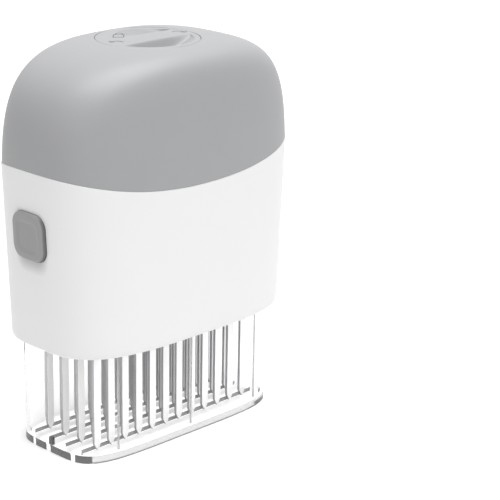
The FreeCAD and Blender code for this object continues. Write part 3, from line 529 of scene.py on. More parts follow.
def add_stem(shell):
    rows = [circle(STEM_SIDES, radius, z) for radius, z in (
        (STEM_RADIUS, STEM_TOP_Z), (STEM_RADIUS, GROOVE_HIGH_Z), (GROOVE_RADIUS, GROOVE_HIGH_Z),
        (GROOVE_RADIUS, GROOVE_LOW_Z), (STEM_RADIUS, GROOVE_LOW_Z), (STEM_RADIUS, CAM_HIGH_Z))]
    for z in (CAM_HIGH_Z, CAM_LOW_Z):
        key = circle(STEM_SIDES, GROOVE_RADIUS, z)
        rows.append(row(np.minimum(key[:, 0], KEY_FLAT), key[:, 1], z))
    rows += [circle(STEM_SIDES, PILOT_RADIUS, z) for z in (CAM_LOW_Z, PILOT_TOP_Z)]
    rings = shell.loft(rows)
    shell.cap(rings[0], (0.0, 0.0, STEM_TOP_Z))
    shell.cap(rings[-1], (0.0, 0.0, PILOT_TOP_Z))


def make_lock_knob():
    shell = Shell()
    add_knob_top(shell)
    add_stem(shell)
    piece = new_object("lock_knob_moulding", shell.verts, shell.faces, "lock", sharp=60.0)
    # Faces in the rear recess get the darker grey that is painted as shade.
    for face in piece.data.polygons:
        x, y, z = face.center / MM
        if y > BAR_HALF_WIDTH and RECESS_SHADE_LOW_Z < z < crown_height(x, y) - RECESS_SHADE_DEPTH:
            face.material_index = RECESS_SHADE_MATERIAL
    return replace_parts(piece, "lock_knob")


# Printed marks on the knob: a padlock and a curved arrow at its left end, and an arrow at its right end
MARK_TURN = math.radians(-45.0)
MARK_WIDTH = 0.42
MARK_RISE = 0.06
MARK_ROOT = 0.15
MARK_STEP = 0.4
MARK_ARC_POINTS = 13
LOCK_MARK_CENTRE = (-7.0, 8.9)
LOCK_MARK_HALF_WIDTH = 2.0
LOCK_MARK_HALF_HEIGHT = 2.5
SHACKLE_RADIUS = 1.3
SHACKLE_RISE = 2.2
LEFT_ARROW_CENTRE = (-15.0, 1.0)
RIGHT_ARROW_CENTRE = (16.1, -0.25)
ARROW_HALF_LENGTH = 2.6
ARROW_BOW = 1.7
ARROW_BARBS = ((-1.9, -0.2), (0.1, 1.9))


def mark_place(centre, across, up):
    """A point of a mark, which reads upright from the front left corner."""
    x = centre[0] + across * math.cos(MARK_TURN) - up * math.sin(MARK_TURN)
    y = centre[1] + across * math.sin(MARK_TURN) + up * math.cos(MARK_TURN)
    return np.array([x, y])


def add_stroke(shell, centre, corners):
    """A thin line of a mark, which follows the top of the knob."""
    points = [mark_place(centre, *corner) for corner in corners]
    path = [points[0]]
    for start, end in zip(points, points[1:]):
        count = max(1, math.ceil(np.linalg.norm(end - start) / MARK_STEP))
        path += [start + (end - start) * (k + 1) / count for k in range(count)]
    rows = []
    for k, point in enumerate(path):
        heading = path[min(k + 1, len(path) - 1)] - path[max(k - 1, 0)]
        aside = np.array([-heading[1], heading[0]]) / np.linalg.norm(heading) * MARK_WIDTH / 2.0
        left, right = point + aside, point - aside
        left_z, right_z = knob_height(*left), knob_height(*right)
        rows.append([(*left, left_z - MARK_ROOT), (*left, left_z + MARK_RISE), (*right, right_z + MARK_RISE),
                     (*right, right_z - MARK_ROOT)])
    shell.bar(rows)


def add_arrow(shell, centre, side):
    """A bowed line with an arrow head at the end that side names."""
    shares = np.linspace(-1.0, 1.0, MARK_ARC_POINTS)
    add_stroke(shell, centre, [(side * ARROW_HALF_LENGTH * t, ARROW_BOW * (1.0 - t * t)) for t in shares])
    low, high = [(side * (ARROW_HALF_LENGTH + across), up) for across, up in ARROW_BARBS]
    add_stroke(shell, centre, [low, (side * ARROW_HALF_LENGTH, 0.0), high])


def make_knob_marks():
    shell = Shell()
    half, top = LOCK_MARK_HALF_WIDTH, LOCK_MARK_HALF_HEIGHT
    add_stroke(shell, LOCK_MARK_CENTRE, [(0.0, -top), (-half, -top), (-half, top), (half, top), (half, -top),
                                         (0.0, -top)])
    shackle = [(-SHACKLE_RADIUS, top)]
    for angle in np.linspace(math.pi, 0.0, MARK_ARC_POINTS):
        up = top + SHACKLE_RISE + SHACKLE_RADIUS * math.sin(angle)
        shackle.append((SHACKLE_RADIUS * math.cos(angle), up))
    add_stroke(shell, LOCK_MARK_CENTRE, shackle + [(SHACKLE_RADIUS, top)])
    add_arrow(shell, LEFT_ARROW_CENTRE, -1.0)
    add_arrow(shell, RIGHT_ARROW_CENTRE, 1.0)
    return new_object("knob_marks", shell.verts, shell.faces, "lock")


# ---------------- release buttons

BUTTON_PROUD = 1.72
BUTTON_ROUND = 1.0
BUTTON_ROUND_STEPS = 8
BUTTON_RIM = 1.5
BUTTON_RIM_GAP = 0.25
BUTTON_BACK_X = -BUTTON_HIGH.x
BUTTON_COLUMNS = 160
POCKET_RADIUS = 3.7
POCKET_END_X = BUTTON_BACK_X + 2.8

# The dish in the face, by shares of the button's half size
DISH_DEPTH = 0.45
DISH_SHARES = (0.12, 0.3, 0.48, 0.56, 0.6, 0.64, 0.68, 0.72, 0.76, 0.83)
DISH_EDGE = 0.56
DISH_EDGE_WIDTH = 0.16


def make_release_button(end):
    side = -1.0 if end == "left" else 1.0
    shell = Shell()
    headings = np.linspace(-math.pi, math.pi, BUTTON_COLUMNS, endpoint=False)

    def face_row(half, corner, inset, sink=0.0):
        y, z = rounded_square(half, corner, headings)
        return row(side * (handle_x(y, z + BUTTON_Z, inset) - sink), y, z + BUTTON_Z)

    rows = []
    for share in DISH_SHARES:
        sink = DISH_DEPTH * (1.0 - smooth_step((share - DISH_EDGE) / DISH_EDGE_WIDTH))
        rows.append(face_row(BUTTON_HALF * share, BUTTON_CORNER * share, -BUTTON_PROUD, sink))
    for shrink, sink in rounding(BUTTON_ROUND, BUTTON_ROUND_STEPS):
        rows.append(face_row(BUTTON_HALF - shrink, BUTTON_CORNER - shrink, -BUTTON_PROUD, sink))
    for grow in (0.0, BUTTON_RIM):
        rows.append(face_row(BUTTON_HALF + grow, BUTTON_CORNER + grow, BODY_WALL + BUTTON_RIM_GAP))
    rows.append(row(side * BUTTON_BACK_X, rows[-1][:, 1], rows[-1][:, 2]))
    y, z = POCKET_RADIUS * np.cos(headings), BUTTON_Z + POCKET_RADIUS * np.sin(headings)
    rows += [row(side * x, y, z) for x in (BUTTON_BACK_X, POCKET_END_X)]
    rings = shell.loft(rows)
    front_x = handle_x(0.0, BUTTON_Z, -BUTTON_PROUD) - DISH_DEPTH
    shell.cap(rings[0], (side * front_x, 0.0, BUTTON_Z))
    shell.cap(rings[-1], (side * POCKET_END_X, 0.0, BUTTON_Z))
    name = end + "_release_button"
    piece = new_object(name + "_moulding", shell.verts, shell.faces, end + "_button",
                       sharp=50.0)
    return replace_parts(piece, name)


# ---------------- guard

BLADE_ROWS = 4
ROW_PITCH = 9.27

# Sleeve: a wall with a flange on top, and a long panel and a tongue on each side
SLEEVE_STEPS = 9
FLANGE_LOW_Z = 46.9
FLANGE_HIGH_Z = 48.9
FLANGE_WIDTH = 2.2
PANEL_HALF_LENGTH = 38.5
PANEL_TOP_Z = 84.2
PANEL_COLUMNS = 41
TONGUE_HALF_WIDTH = 4.0
TONGUE_TOP_Z = node_box("guard_sleeve")[1].z
RIB_X = (-35.3, 2.2, 39.7)
RIB_WIDTH = 0.4
RIB_DEPTH = 0.5
RIB_ROOT = 0.2

# Foot: the bands are rows that the painted shade of its edge follows
FOOT_THICKNESS = 3.3
FOOT_EDGE_ROUND = 0.5
FOOT_EDGE_STEPS = 6
FOOT_EDGE_BAND = 0.8
FOOT_CORNER_BAND = 2.3
FOOT_NOTCHES = ((-13.9, -11.7), (0.0, 2.5), (8.8, 10.0))
FOOT_NOTCH_DEPTH = 0.35
SLOT_HALF_WIDTH = 1.2
SLOT_HALF_LENGTH = 46.4
SLOT_ROUND = 0.2
SLOT_SHADE_Z = 1.4
TAB_HEIGHT = 3.2
TAB_THICKNESS = 1.4
TAB_HALF_WIDTH = 1.0
TAB_Y = -0.4
TAB_CLEARANCE = 0.15
TAB_BEVEL = 0.3


def guard_row(inset, z):
    return oval_row(GUARD_HALF_LENGTH - inset, GUARD_HALF_WIDTH - inset, GUARD_SQUARENESS, z)


def guard_y(x, inset):
    return oval_side(GUARD_HALF_WIDTH - inset, x, GUARD_HALF_LENGTH - inset, GUARD_SQUARENESS)


def blade_row_y(number):
    return (number - (BLADE_ROWS - 1) / 2.0) * ROW_PITCH


def add_wall_panel(shell, side, half_length, low_z, high_z):
    """A stretch of the sleeve's long wall, from low_z to high_z."""
    x = np.linspace(-half_length, half_length, PANEL_COLUMNS)
    outer, inner = side * guard_y(x, 0.0), side * guard_y(x, GUARD_WALL)
    loop_x, loop_y = np.concatenate([x, x[::-1]]), np.concatenate([outer, inner[::-1]])
    rings = shell.loft([row(loop_x, loop_y, z) for z in (low_z, high_z)])
    for ring in rings:
        for i in range(PANEL_COLUMNS - 1):
            shell.faces.append((ring[i], ring[i + 1], ring[-2 - i], ring[-1 - i]))


def add_rib(shell, side, middle_x):
    """A thin upright rib on the inside of the sleeve's long wall."""
    x = np.array([middle_x - RIB_WIDTH / 2.0, middle_x + RIB_WIDTH / 2.0])
    outer, inner = side * guard_y(x, GUARD_WALL - RIB_ROOT), side * guard_y(x, GUARD_WALL + RIB_DEPTH)
    loop_x, loop_y = np.concatenate([x, x[::-1]]), np.concatenate([outer, inner[::-1]])
    shell.bar([row(loop_x, loop_y, z) for z in (FOOT_THICKNESS, PANEL_TOP_Z)])


def add_foot_tab(shell, side):
    """A small upright tab inside one end of the sleeve."""
    outer_x = GUARD_HALF_LENGTH - TAB_CLEARANCE
    top_z = FOOT_THICKNESS + TAB_HEIGHT
    rows = []
    for z, shrink in ((FOOT_THICKNESS, 0.0), (top_z - TAB_BEVEL, 0.0), (top_z, TAB_BEVEL)):
        half_y = TAB_HALF_WIDTH - shrink
        rows.append(rectangle(side * (outer_x - TAB_THICKNESS + shrink), side * (outer_x - shrink),
                              TAB_Y - half_y, TAB_Y + half_y, z))
    shell.bar(rows)


def in_notch(y):
    """True in the notches of the foot's end faces."""
    return any(low < y < high for low, high in FOOT_NOTCHES)


def foot_row(inset, z):
    """The foot's outline, with shallow notches in each end face."""
    points = guard_row(inset, z)
    for point in points:
        if abs(point[0]) > SLOT_HALF_LENGTH and in_notch(point[1]):
            point[0] -= math.copysign(FOOT_NOTCH_DEPTH, point[0])
    return points


def add_slot(shell, y):
    """Walls of the slot for a row of blades, with its rounded upper and lower edge."""
    rows = []
    for grow, z in ((SLOT_ROUND, 0.0), (0.0, SLOT_ROUND), (0.0, SLOT_SHADE_Z),
                    (0.0, FOOT_THICKNESS - SLOT_ROUND), (SLOT_ROUND, FOOT_THICKNESS)):
        half_x, half_y = SLOT_HALF_LENGTH + grow, SLOT_HALF_WIDTH + grow
        rows.append(rectangle(-half_x, half_x, y - half_y, y + half_y, z))
    return shell.loft(rows)


def fill_between(shell, outer, holes):
    """Triangles in one plane between an outer ring and the rings of its holes."""
    work = bmesh.new()
    corners = {}
    for ring in [outer] + holes:
        for index in ring:
            corners[index] = work.verts.new(shell.verts[index])
        for i in range(len(ring)):
            work.edges.new((corners[ring[i]], corners[ring[(i + 1) % len(ring)]]))
    names = {corner: index for index, corner in corners.items()}
    bmesh.ops.triangle_fill(work, edges=list(work.edges), use_beauty=True)
    shell.faces += [tuple(names[corner] for corner in face.verts) for face in work.faces]
    work.free()


def make_guard():
    """Sleeve and foot as one clear moulding, so that no seam shows between them."""
    shell = Shell()
    rows = [guard_row(GUARD_WALL, z) for z in np.linspace(FOOT_THICKNESS, FLANGE_HIGH_Z, SLEEVE_STEPS + 1)]
    rows += [guard_row(0.0, FLANGE_HIGH_Z), guard_row(-FLANGE_WIDTH, FLANGE_HIGH_Z)]
    rows += [guard_row(-FLANGE_WIDTH, FLANGE_LOW_Z)]
    rows += [guard_row(0.0, z) for z in np.linspace(FLANGE_LOW_Z, FOOT_THICKNESS, SLEEVE_STEPS + 1)]
    rows += [foot_row(0.0, FOOT_CORNER_BAND), foot_row(0.0, FOOT_EDGE_BAND)]
    rows += [foot_row(inset, z) for inset, z in reversed(rounding(FOOT_EDGE_ROUND, FOOT_EDGE_STEPS))]
    rings = shell.loft(rows)
    slots = [add_slot(shell, blade_row_y(number)) for number in range(BLADE_ROWS)]
    fill_between(shell, rings[0], [slot[-1] for slot in slots])
    fill_between(shell, rings[-1], [slot[0] for slot in slots])
    for side in (-1.0, 1.0):
        add_foot_tab(shell, side)
        add_wall_panel(shell, side, PANEL_HALF_LENGTH, FLANGE_HIGH_Z, PANEL_TOP_Z)
        add_wall_panel(shell, side, TONGUE_HALF_WIDTH, PANEL_TOP_Z, TONGUE_TOP_Z)
        for x in RIB_X:
            add_rib(shell, side, x)
    piece = new_object("guard_moulding", shell.verts, shell.faces, "guard")
    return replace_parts(piece, "guard_sleeve", "guard_foot")


# ---------------- blades

BLADES_IN_ROW = 12
BLADE_PITCH = 7.22
BLADE_HALF_WIDTH = 1.6
BLADE_HALF_THICKNESS = 0.625
BLADE_TIP_Z = 1.5
BLADE_SHOULDER_Z = 4.7
HEAD_HALF_WIDTH = 2.2
HEAD_LOW_Z = 58.4
HEAD_HIGH_Z = 60.0


def make_blade_row(number):
    shell = Shell()
    right = [(BLADE_HALF_WIDTH, BLADE_SHOULDER_Z), (BLADE_HALF_WIDTH, HEAD_LOW_Z),
             (HEAD_HALF_WIDTH, HEAD_LOW_Z), (HEAD_HALF_WIDTH, HEAD_HIGH_Z)]
    outline = np.array([(0.0, BLADE_TIP_Z)] + right + [(-x, z) for x, z in reversed(right)])
    for index in range(BLADES_IN_ROW):
        x = (index - (BLADES_IN_ROW - 1) / 2.0) * BLADE_PITCH
        shell.bar([row(x + outline[:, 0], blade_row_y(number) + half_y, outline[:, 1])
                   for half_y in (-BLADE_HALF_THICKNESS, BLADE_HALF_THICKNESS)])
    name = "blade_row_%d_ground" % (number + 1)
    piece = new_object(name, shell.verts, shell.faces, "handle")
    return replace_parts(piece, "blade_row_%d" % (number + 1))


# ---------------- springs

COIL_SIDES = 12
COIL_STEPS_IN_TURN = 28
SPRING_X = 46.6
SPRING_Y = 9.27
RETURN_SPRING_RADIUS = 2.6
RETURN_SPRING_WIRE = 0.4
RETURN_SPRING_TURNS = 16
RETURN_SPRING_TOP_Z = 112.5
BUTTON_SPRING_RADIUS = 2.9
BUTTON_SPRING_WIRE = 0.3
BUTTON_SPRING_TURNS = 3
BUTTON_SPRING_ROOT_X = 48.0


def coil(radius, wire, turns, length):
    """Points and faces of a spring along +Z from the origin, with blunt ends."""
    shell = Shell()
    around = np.arange(COIL_SIDES) * 2.0 * math.pi / COIL_SIDES
    reach, rise = radius + wire * np.cos(around), wire * np.sin(around)
    rows = []
    for share in np.linspace(0.0, 1.0, COIL_STEPS_IN_TURN * turns + 1):
        angle = 2.0 * math.pi * turns * share
        z = rise + wire + (length - 2.0 * wire) * share
        rows.append(row(reach * math.cos(angle), reach * math.sin(angle), z))
    shell.bar(rows)
    return np.array(shell.verts), shell.faces


def make_return_springs():
    length = RETURN_SPRING_TOP_Z - FLANGE_HIGH_Z
    verts, faces = coil(RETURN_SPRING_RADIUS, RETURN_SPRING_WIRE, RETURN_SPRING_TURNS, length)
    made = []
    for end, x in (("left", -SPRING_X), ("right", SPRING_X)):
        for side, y in (("front", -SPRING_Y), ("rear", SPRING_Y)):
            name = "%s_%s_return_spring" % (end, side)
            placed = verts + (x, y, FLANGE_HIGH_Z)
            piece = new_object(name + "_coil", placed, faces, "handle")
            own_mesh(piece)
            made.append(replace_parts(piece, name))
    return made


def make_button_springs():
    length = POCKET_END_X - BUTTON_SPRING_ROOT_X
    verts, faces = coil(BUTTON_SPRING_RADIUS, BUTTON_SPRING_WIRE, BUTTON_SPRING_TURNS, length)
    made = []
    for end, side in (("left", -1.0), ("right", 1.0)):
        placed = row(side * (BUTTON_SPRING_ROOT_X + verts[:, 2]), verts[:, 1], BUTTON_Z + verts[:, 0])
        piece = new_object(end + "_button_spring_coil", placed, faces, "handle")
        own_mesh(piece)
        made.append(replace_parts(piece, end + "_button_spring"))
    return made


# ---------------- camera

CAMERA_AZIMUTH = math.radians(-45.911)
CAMERA_ELEVATION = math.radians(18.249)
CAMERA_ROLL = math.radians(1.036)
CAMERA_PLACE = Vector((-463.73, -505.52, 297.80)) * MM
FOCAL_PIXELS = 1820.387
PICTURE_PIXELS = 500.0
SENSOR_WIDTH = 36.0
CLIP_NEAR = 50.0
CLIP_FAR = 20000.0


def make_camera():
    back = Vector((math.sin(CAMERA_AZIMUTH) * math.cos(CAMERA_ELEVATION),
                   -math.cos(CAMERA_AZIMUTH) * math.cos(CAMERA_ELEVATION), math.sin(CAMERA_ELEVATION)))
    level = Vector((math.cos(CAMERA_AZIMUTH), math.sin(CAMERA_AZIMUTH), 0.0))
    up = back.cross(level)
    right = level * math.cos(CAMERA_ROLL) + up * math.sin(CAMERA_ROLL)
    head = up * math.cos(CAMERA_ROLL) - level * math.sin(CAMERA_ROLL)
    data = bpy.data.cameras.new("camera")
    data.sensor_width = SENSOR_WIDTH
    data.lens = FOCAL_PIXELS * SENSOR_WIDTH / PICTURE_PIXELS
    data.clip_start, data.clip_end = CLIP_NEAR * MM, CLIP_FAR * MM
    camera = bpy.data.objects.new("camera", data)
    bpy.context.scene.collection.objects.link(camera)
    matrix = Matrix((right, head, back)).transposed().to_4x4()
    matrix.translation = CAMERA_PLACE
    camera.matrix_world = matrix
    bpy.context.scene.camera = camera


# ---------------- node helpers

NOISE_MIDDLE = (0.3, 0.7)
NOISE_ROUGHNESS = 0.55


def feed(owner, socket, value):
    """Sets a socket, or links it where the value is a socket of another node."""
    if isinstance(value, bpy.types.NodeSocket):
        owner.node_tree.links.new(value, socket)
    else:
        socket.default_value = value


def add_node(owner, kind, **sockets):
    """A node of the kind given, in a material or the world; sockets name its inputs."""
    node = owner.node_tree.nodes.new(kind)
    for label, value in sockets.items():
        feed(owner, node.inputs[label.replace("_", " ")], value)
    return node


def maths(owner, operation, *values):
    node = add_node(owner, "ShaderNodeMath")
    node.operation = operation
    for socket, value in zip(node.inputs, values):
        feed(owner, socket, value)
    return node.outputs[0]


def ramp(material, value, start, end, low=0.0, high=1.0):
    """A value that runs from low to high while the one given runs from start to end."""
    return add_node(material, "ShaderNodeMapRange", Value=value, From_Min=start, From_Max=end, To_Min=low,
                    To_Max=high).outputs["Result"]


def between(material, share, low, high):
    """A colour that goes from low to high with the share."""
    mix = add_node(material, "ShaderNodeMix")
    mix.data_type = "RGBA"
    colours = [socket for socket in mix.inputs if socket.type == "RGBA"]
    feed(material, mix.inputs[0], share)
    feed(material, colours[0], low)
    feed(material, colours[1], high)
    return [socket for socket in mix.outputs if socket.type == "RGBA"][0]


def coordinate(material, kind):
    """X, Y and Z of the piece's own coordinates or normals, as sockets."""
    place = add_node(material, "ShaderNodeTexCoord")
    return add_node(material, "ShaderNodeSeparateXYZ", Vector=place.outputs[kind]).outputs


def noise(material, scale, stretch=(1.0, 1.0, 1.0), detail=3.0):
    """Noise in the piece's own coordinates, scale grains to the metre."""
    place = add_node(material, "ShaderNodeTexCoord")
    squeeze = add_node(material, "ShaderNodeMapping", Vector=place.outputs["Object"], Scale=stretch)
    return add_node(material, "ShaderNodeTexNoise", Vector=squeeze.outputs[0], Scale=scale, Detail=detail,
                    Roughness=NOISE_ROUGHNESS).outputs["Fac"]


def spread(material, value, low, high):
    """The middle part of a noise, spread from low to high."""
    return ramp(material, value, *NOISE_MIDDLE, low, high)


def mix_for_eye(owner, lighting, seen, output):
    """Feeds the output with one shader where the eye sees it, also by reflection or through the clear
    guard, and with the other where it only lights the scene."""
    path = add_node(owner, "ShaderNodeLightPath").outputs
    direct = maths(owner, "MAXIMUM", path["Is Camera Ray"], path["Is Glossy Ray"])
    direct = maths(owner, "MAXIMUM", direct, path["Is Transmission Ray"])
    mix = add_node(owner, "ShaderNodeMixShader", Fac=direct)
    feed(owner, mix.inputs[1], lighting)
    feed(owner, mix.inputs[2], seen)
    feed(owner, owner.node_tree.nodes[output].inputs["Surface"], mix.outputs[0])


# ---------------- materials

WHITE = (1.0, 1.0, 1.0, 1.0)
BODY_COLOUR = (0.84, 0.84, 0.84, 1.0)
BUTTON_FACE = (0.30, 0.30, 0.303, 1.0)
# Painted shade on the walls round a button's face
BUTTON_WALL_SHADE = (0.14, 0.14, 0.142, 1.0)
BLADE_FLAT = (0.95, 0.95, 0.95, 1.0)
# Painted shade on the sides of a blade, which face along the row
BLADE_SIDE_SHADE = (0.42, 0.42, 0.43, 1.0)

# Scales of the noises in grains to the metre, strengths and heights of the reliefs, and changes of sheen
DRIFT_SCALE = 45.0
MOULD_GRAIN = 2600.0
MOULD_STRENGTH = 0.10
METAL_GRAIN = 1800.0
METAL_STRENGTH = 0.08
METAL_DRIFT = 0.03
GRAIN_HEIGHT = 0.1
WAVE_SCALE = 60.0
WAVE_STRENGTH = 0.03
WAVE_HEIGHT = 1.0
SHEEN_CHANGE = 0.04
HAZE_SCALE = 900.0
HAZE = 0.02
CLEAR_IOR = 1.05
EDGE_IOR = 1.49

# Painted shadow below each button: a rounded square set a little lower than the button, whose edge fades out
# between two shares of its size. It sets in over a stretch below the button's middle.
SHADE_HALF_WIDTH = 6.6
SHADE_DROP = 1.6
SHADE_STRETCH = 4.8
SHADE_EDGE = (1.45, 0.88)
SHADE_FACTOR = 0.63
SHADE_SQUARENESS = 4.0

# The painted shade on the walls of a button and on the sides of a blade sets in between these values of the
# normal's X or Z
WALL_SHADE_ASIDE = (0.85, 0.35)
WALL_SHADE_NOT_UP = (1.0, 0.6)
BLADE_SHADE_SIDEWAYS = (0.3, 0.7)


def shader_of(material):
    return material.node_tree.nodes["Principled BSDF"]


def principled(name, colour, roughness, **sockets):
    material = bpy.data.materials.new(name)
    material.use_nodes = True
    for label, value in {"Base_Color": colour, "Roughness": roughness, **sockets}.items():
        shader_of(material).inputs[label.replace("_", " ")].default_value = value
    return material


def shade(colour, factor):
    return tuple(channel * factor for channel in colour[:3]) + (1.0,)


def bump(material, height, strength, distance):
    """Turns a height from 0 to 1 into relief, distance millimetres high."""
    relief = add_node(material, "ShaderNodeBump", Strength=strength, Distance=distance * MM, Height=height)
    feed(material, shader_of(material).inputs["Normal"], relief.outputs["Normal"])


def finish_surface(material, colour, drift, roughness, grain, strength, stretch=(1.0, 1.0, 1.0)):
    """Gives a material a slow drift of colour, an uneven sheen and a fine grain that catches the light."""
    sockets = shader_of(material).inputs
    slow = spread(material, noise(material, DRIFT_SCALE), 0.0, 1.0)
    fine = noise(material, grain, stretch)
    drifted = between(material, slow, shade(colour, 1.0 - drift), shade(colour, 1.0 + drift))
    feed(material, sockets["Base Color"], drifted)
    sheen = spread(material, fine, roughness - SHEEN_CHANGE, roughness + SHEEN_CHANGE)
    feed(material, sockets["Roughness"], sheen)
    bump(material, fine, strength, GRAIN_HEIGHT)
    return material


def make_plastic(name, colour, roughness, drift=0.012, **sockets):
    material = principled(name, colour, roughness, **sockets)
    return finish_surface(material, colour, drift, roughness, MOULD_GRAIN, MOULD_STRENGTH)


def make_metal(name, colour, roughness, stretch, metallic=1.0):
    """Metal with fine scratches: the noise is drawn out along the axis where stretch is small."""
    material = principled(name, colour, roughness, Metallic=metallic)
    return finish_surface(material, colour, METAL_DRIFT, roughness, METAL_GRAIN, METAL_STRENGTH, stretch)


def make_clear(name):
    """Clear moulded plastic with a faint waviness."""
    material = principled(name, WHITE, 0.0, Transmission_Weight=1.0, IOR=CLEAR_IOR)
    bump(material, noise(material, WAVE_SCALE, detail=1.0), WAVE_STRENGTH, WAVE_HEIGHT)
    haze = spread(material, noise(material, HAZE_SCALE), 0.0, HAZE)
    feed(material, shader_of(material).inputs["Roughness"], haze)
    return material


def paint_shade(material, share, colour):
    """Mixes a colour painted as shade into a material, by a share that its nodes work out."""
    base = shader_of(material).inputs["Base Color"]
    feed(material, base, between(material, share, base.links[0].from_socket, colour))
    return material


def make_blade_steel():
    """Ground steel: bright flats, and sheared sides, which face along the row and are darkened with painted
    shade.
    """
    material = make_metal("blade_steel", BLADE_FLAT, 0.22, (1.0, 1.0, 0.05), metallic=0.1)
    along = maths(material, "ABSOLUTE", coordinate(material, "Normal")["X"])
    return paint_shade(material, ramp(material, along, *BLADE_SHADE_SIDEWAYS), BLADE_SIDE_SHADE)


def make_body_white():
    """White plastic with a painted soft shadow below each button."""
    material = make_plastic("body_white", BODY_COLOUR, 0.4, drift=0.004)
    place = coordinate(material, "Object")
    across = maths(material, "DIVIDE", place["Y"], SHADE_HALF_WIDTH * MM)
    drop = maths(material, "SUBTRACT", place["Z"], (BUTTON_Z - SHADE_DROP) * MM)
    down = maths(material, "DIVIDE", drop, BUTTON_HALF * MM)
    powers = [maths(material, "POWER", maths(material, "ABSOLUTE", share), SHADE_SQUARENESS)
              for share in (across, down)]
    reach = maths(material, "POWER", maths(material, "ADD", *powers), 1.0 / SHADE_SQUARENESS)
    # The painted shadow darkens the body's colour by its place on the body, below each button.
    below = ramp(material, place["Z"], BUTTON_Z * MM, (BUTTON_Z - SHADE_STRETCH) * MM)
    painted_shadow = maths(material, "MULTIPLY", below, ramp(material, reach, *SHADE_EDGE))
    return paint_shade(material, painted_shadow, shade(BODY_COLOUR, SHADE_FACTOR))


def make_button_grey():
    """Grey plastic with painted shade: darker walls round the face of the button, where they face aside and
    not up.
    """
    material = make_plastic("button_grey", BUTTON_FACE, 0.45)
    facing = coordinate(material, "Normal")
    aside = ramp(material, maths(material, "ABSOLUTE", facing["X"]), *WALL_SHADE_ASIDE)
    wall = maths(material, "MULTIPLY", aside, ramp(material, facing["Z"], *WALL_SHADE_NOT_UP))
    return paint_shade(material, wall, BUTTON_WALL_SHADE)


def dress(piece, *materials):
    """Gives a piece its materials and keeps each face's choice among them."""
    numbers = [face.material_index for face in piece.data.polygons]
    piece.data.materials.clear()
    for material in materials:
        piece.data.materials.append(material)
    piece.data.polygons.foreach_set("material_index", numbers)


# Greys painted as shade on the clear guard, as numbers of its materials, and where they start and end
CLEAR_FACE, SLOT_SHADE_FACE, DARK_SHADE_FACE, SIDE_SHADE_FACE = range(4)
UPRIGHT = 0.95
SIDEWAYS = 0.5
SHADE_MARGIN = 0.1
END_MARGIN = 0.5
RIB_SHADE_HALF_WIDTH = 0.35
RIB_SHADE_REACH_X = PANEL_HALF_LENGTH + 2.0
TAB_INNER_X = 50.0
SLOT_SHADE_HALF_Y = 20.0
FRONT_SIDE_Y = -20.0
RIGHT_END_LEAST_Y = 12.0
RIGHT_CORNER_Y = -15.0
RIGHT_CORNER_BANDS = ((FOOT_EDGE_BAND, 34.0), (FOOT_CORNER_BAND, 39.0))


def guard_face_shade(middle, normal):
    """Which material, clear or a grey painted as shade, a face of the guard has, from its middle in
    millimetres and its normal.
    """
    x, y, z = abs(middle.x), middle.y, middle.z
    inner_y = guard_y(min(x, RIB_SHADE_REACH_X), GUARD_WALL)
    by_rib = any(abs(middle.x - rib) < RIB_SHADE_HALF_WIDTH for rib in RIB_X)
    if by_rib and inner_y - RIB_DEPTH - SHADE_MARGIN < abs(y) < inner_y:
        return SIDE_SHADE_FACE
    in_left_tab = TAB_INNER_X < -middle.x < GUARD_HALF_LENGTH - SHADE_MARGIN
    if (in_left_tab and abs(y - TAB_Y) < TAB_HALF_WIDTH + SHADE_MARGIN
            and FOOT_THICKNESS < z < FOOT_THICKNESS + TAB_HEIGHT + SHADE_MARGIN):
        return DARK_SHADE_FACE
    upright = abs(normal.z) < UPRIGHT
    in_band = any(z < top_z and middle.x > start_x for top_z, start_x in RIGHT_CORNER_BANDS)
    if in_band and upright and y < RIGHT_CORNER_Y and normal.y < 0.0:
        return DARK_SHADE_FACE
    on_end = x > SLOT_HALF_LENGTH + END_MARGIN and math.copysign(1.0, middle.x) * normal.x > SIDEWAYS
    shaded_end = on_end and (middle.x < 0.0 or abs(y) > RIGHT_END_LEAST_Y)
    if shaded_end and z < FOOT_THICKNESS + SHADE_MARGIN and not in_notch(y):
        return DARK_SHADE_FACE
    if upright and y < FRONT_SIDE_Y and FOOT_EDGE_BAND < z < FOOT_THICKNESS:
        return SIDE_SHADE_FACE
    if upright and y < FRONT_SIDE_Y and z < FOOT_EDGE_BAND:
        return SLOT_SHADE_FACE
    in_slot = x < SLOT_HALF_LENGTH + END_MARGIN and abs(y) < SLOT_SHADE_HALF_Y and normal.y < -SIDEWAYS
    return SLOT_SHADE_FACE if in_slot and SLOT_SHADE_Z < z < FOOT_THICKNESS else CLEAR_FACE


# ---------------- world, floor and lamps

AMBIENT = 0.225
FLOOR_COLOUR = (0.9, 0.9, 0.9, 1.0)
FLOOR_HALF_SIZE = 1000.0
FLOOR_GLOW = 0.32
LAMP_TARGET = Vector((0.0, 0.0, 100.0))

# Name, place, side length and power of each lamp
LAMPS = (("top_softbox", (0.0, -300.0, 1400.0), 1600.0, 33.0),
         ("left_softbox", (-1900.0, 200.0, 700.0), 1200.0, 1.4))


def make_world():
    world = bpy.data.worlds.new("studio")
    bpy.context.scene.world = world
    world.use_nodes = True
    background = world.node_tree.nodes["Background"]
    background.inputs["Color"].default_value = WHITE
    background.inputs["Strength"].default_value = AMBIENT
    seen = add_node(world, "ShaderNodeBackground", Color=WHITE, Strength=1.0)
    mix_for_eye(world, background.outputs[0], seen.outputs[0], "World Output")


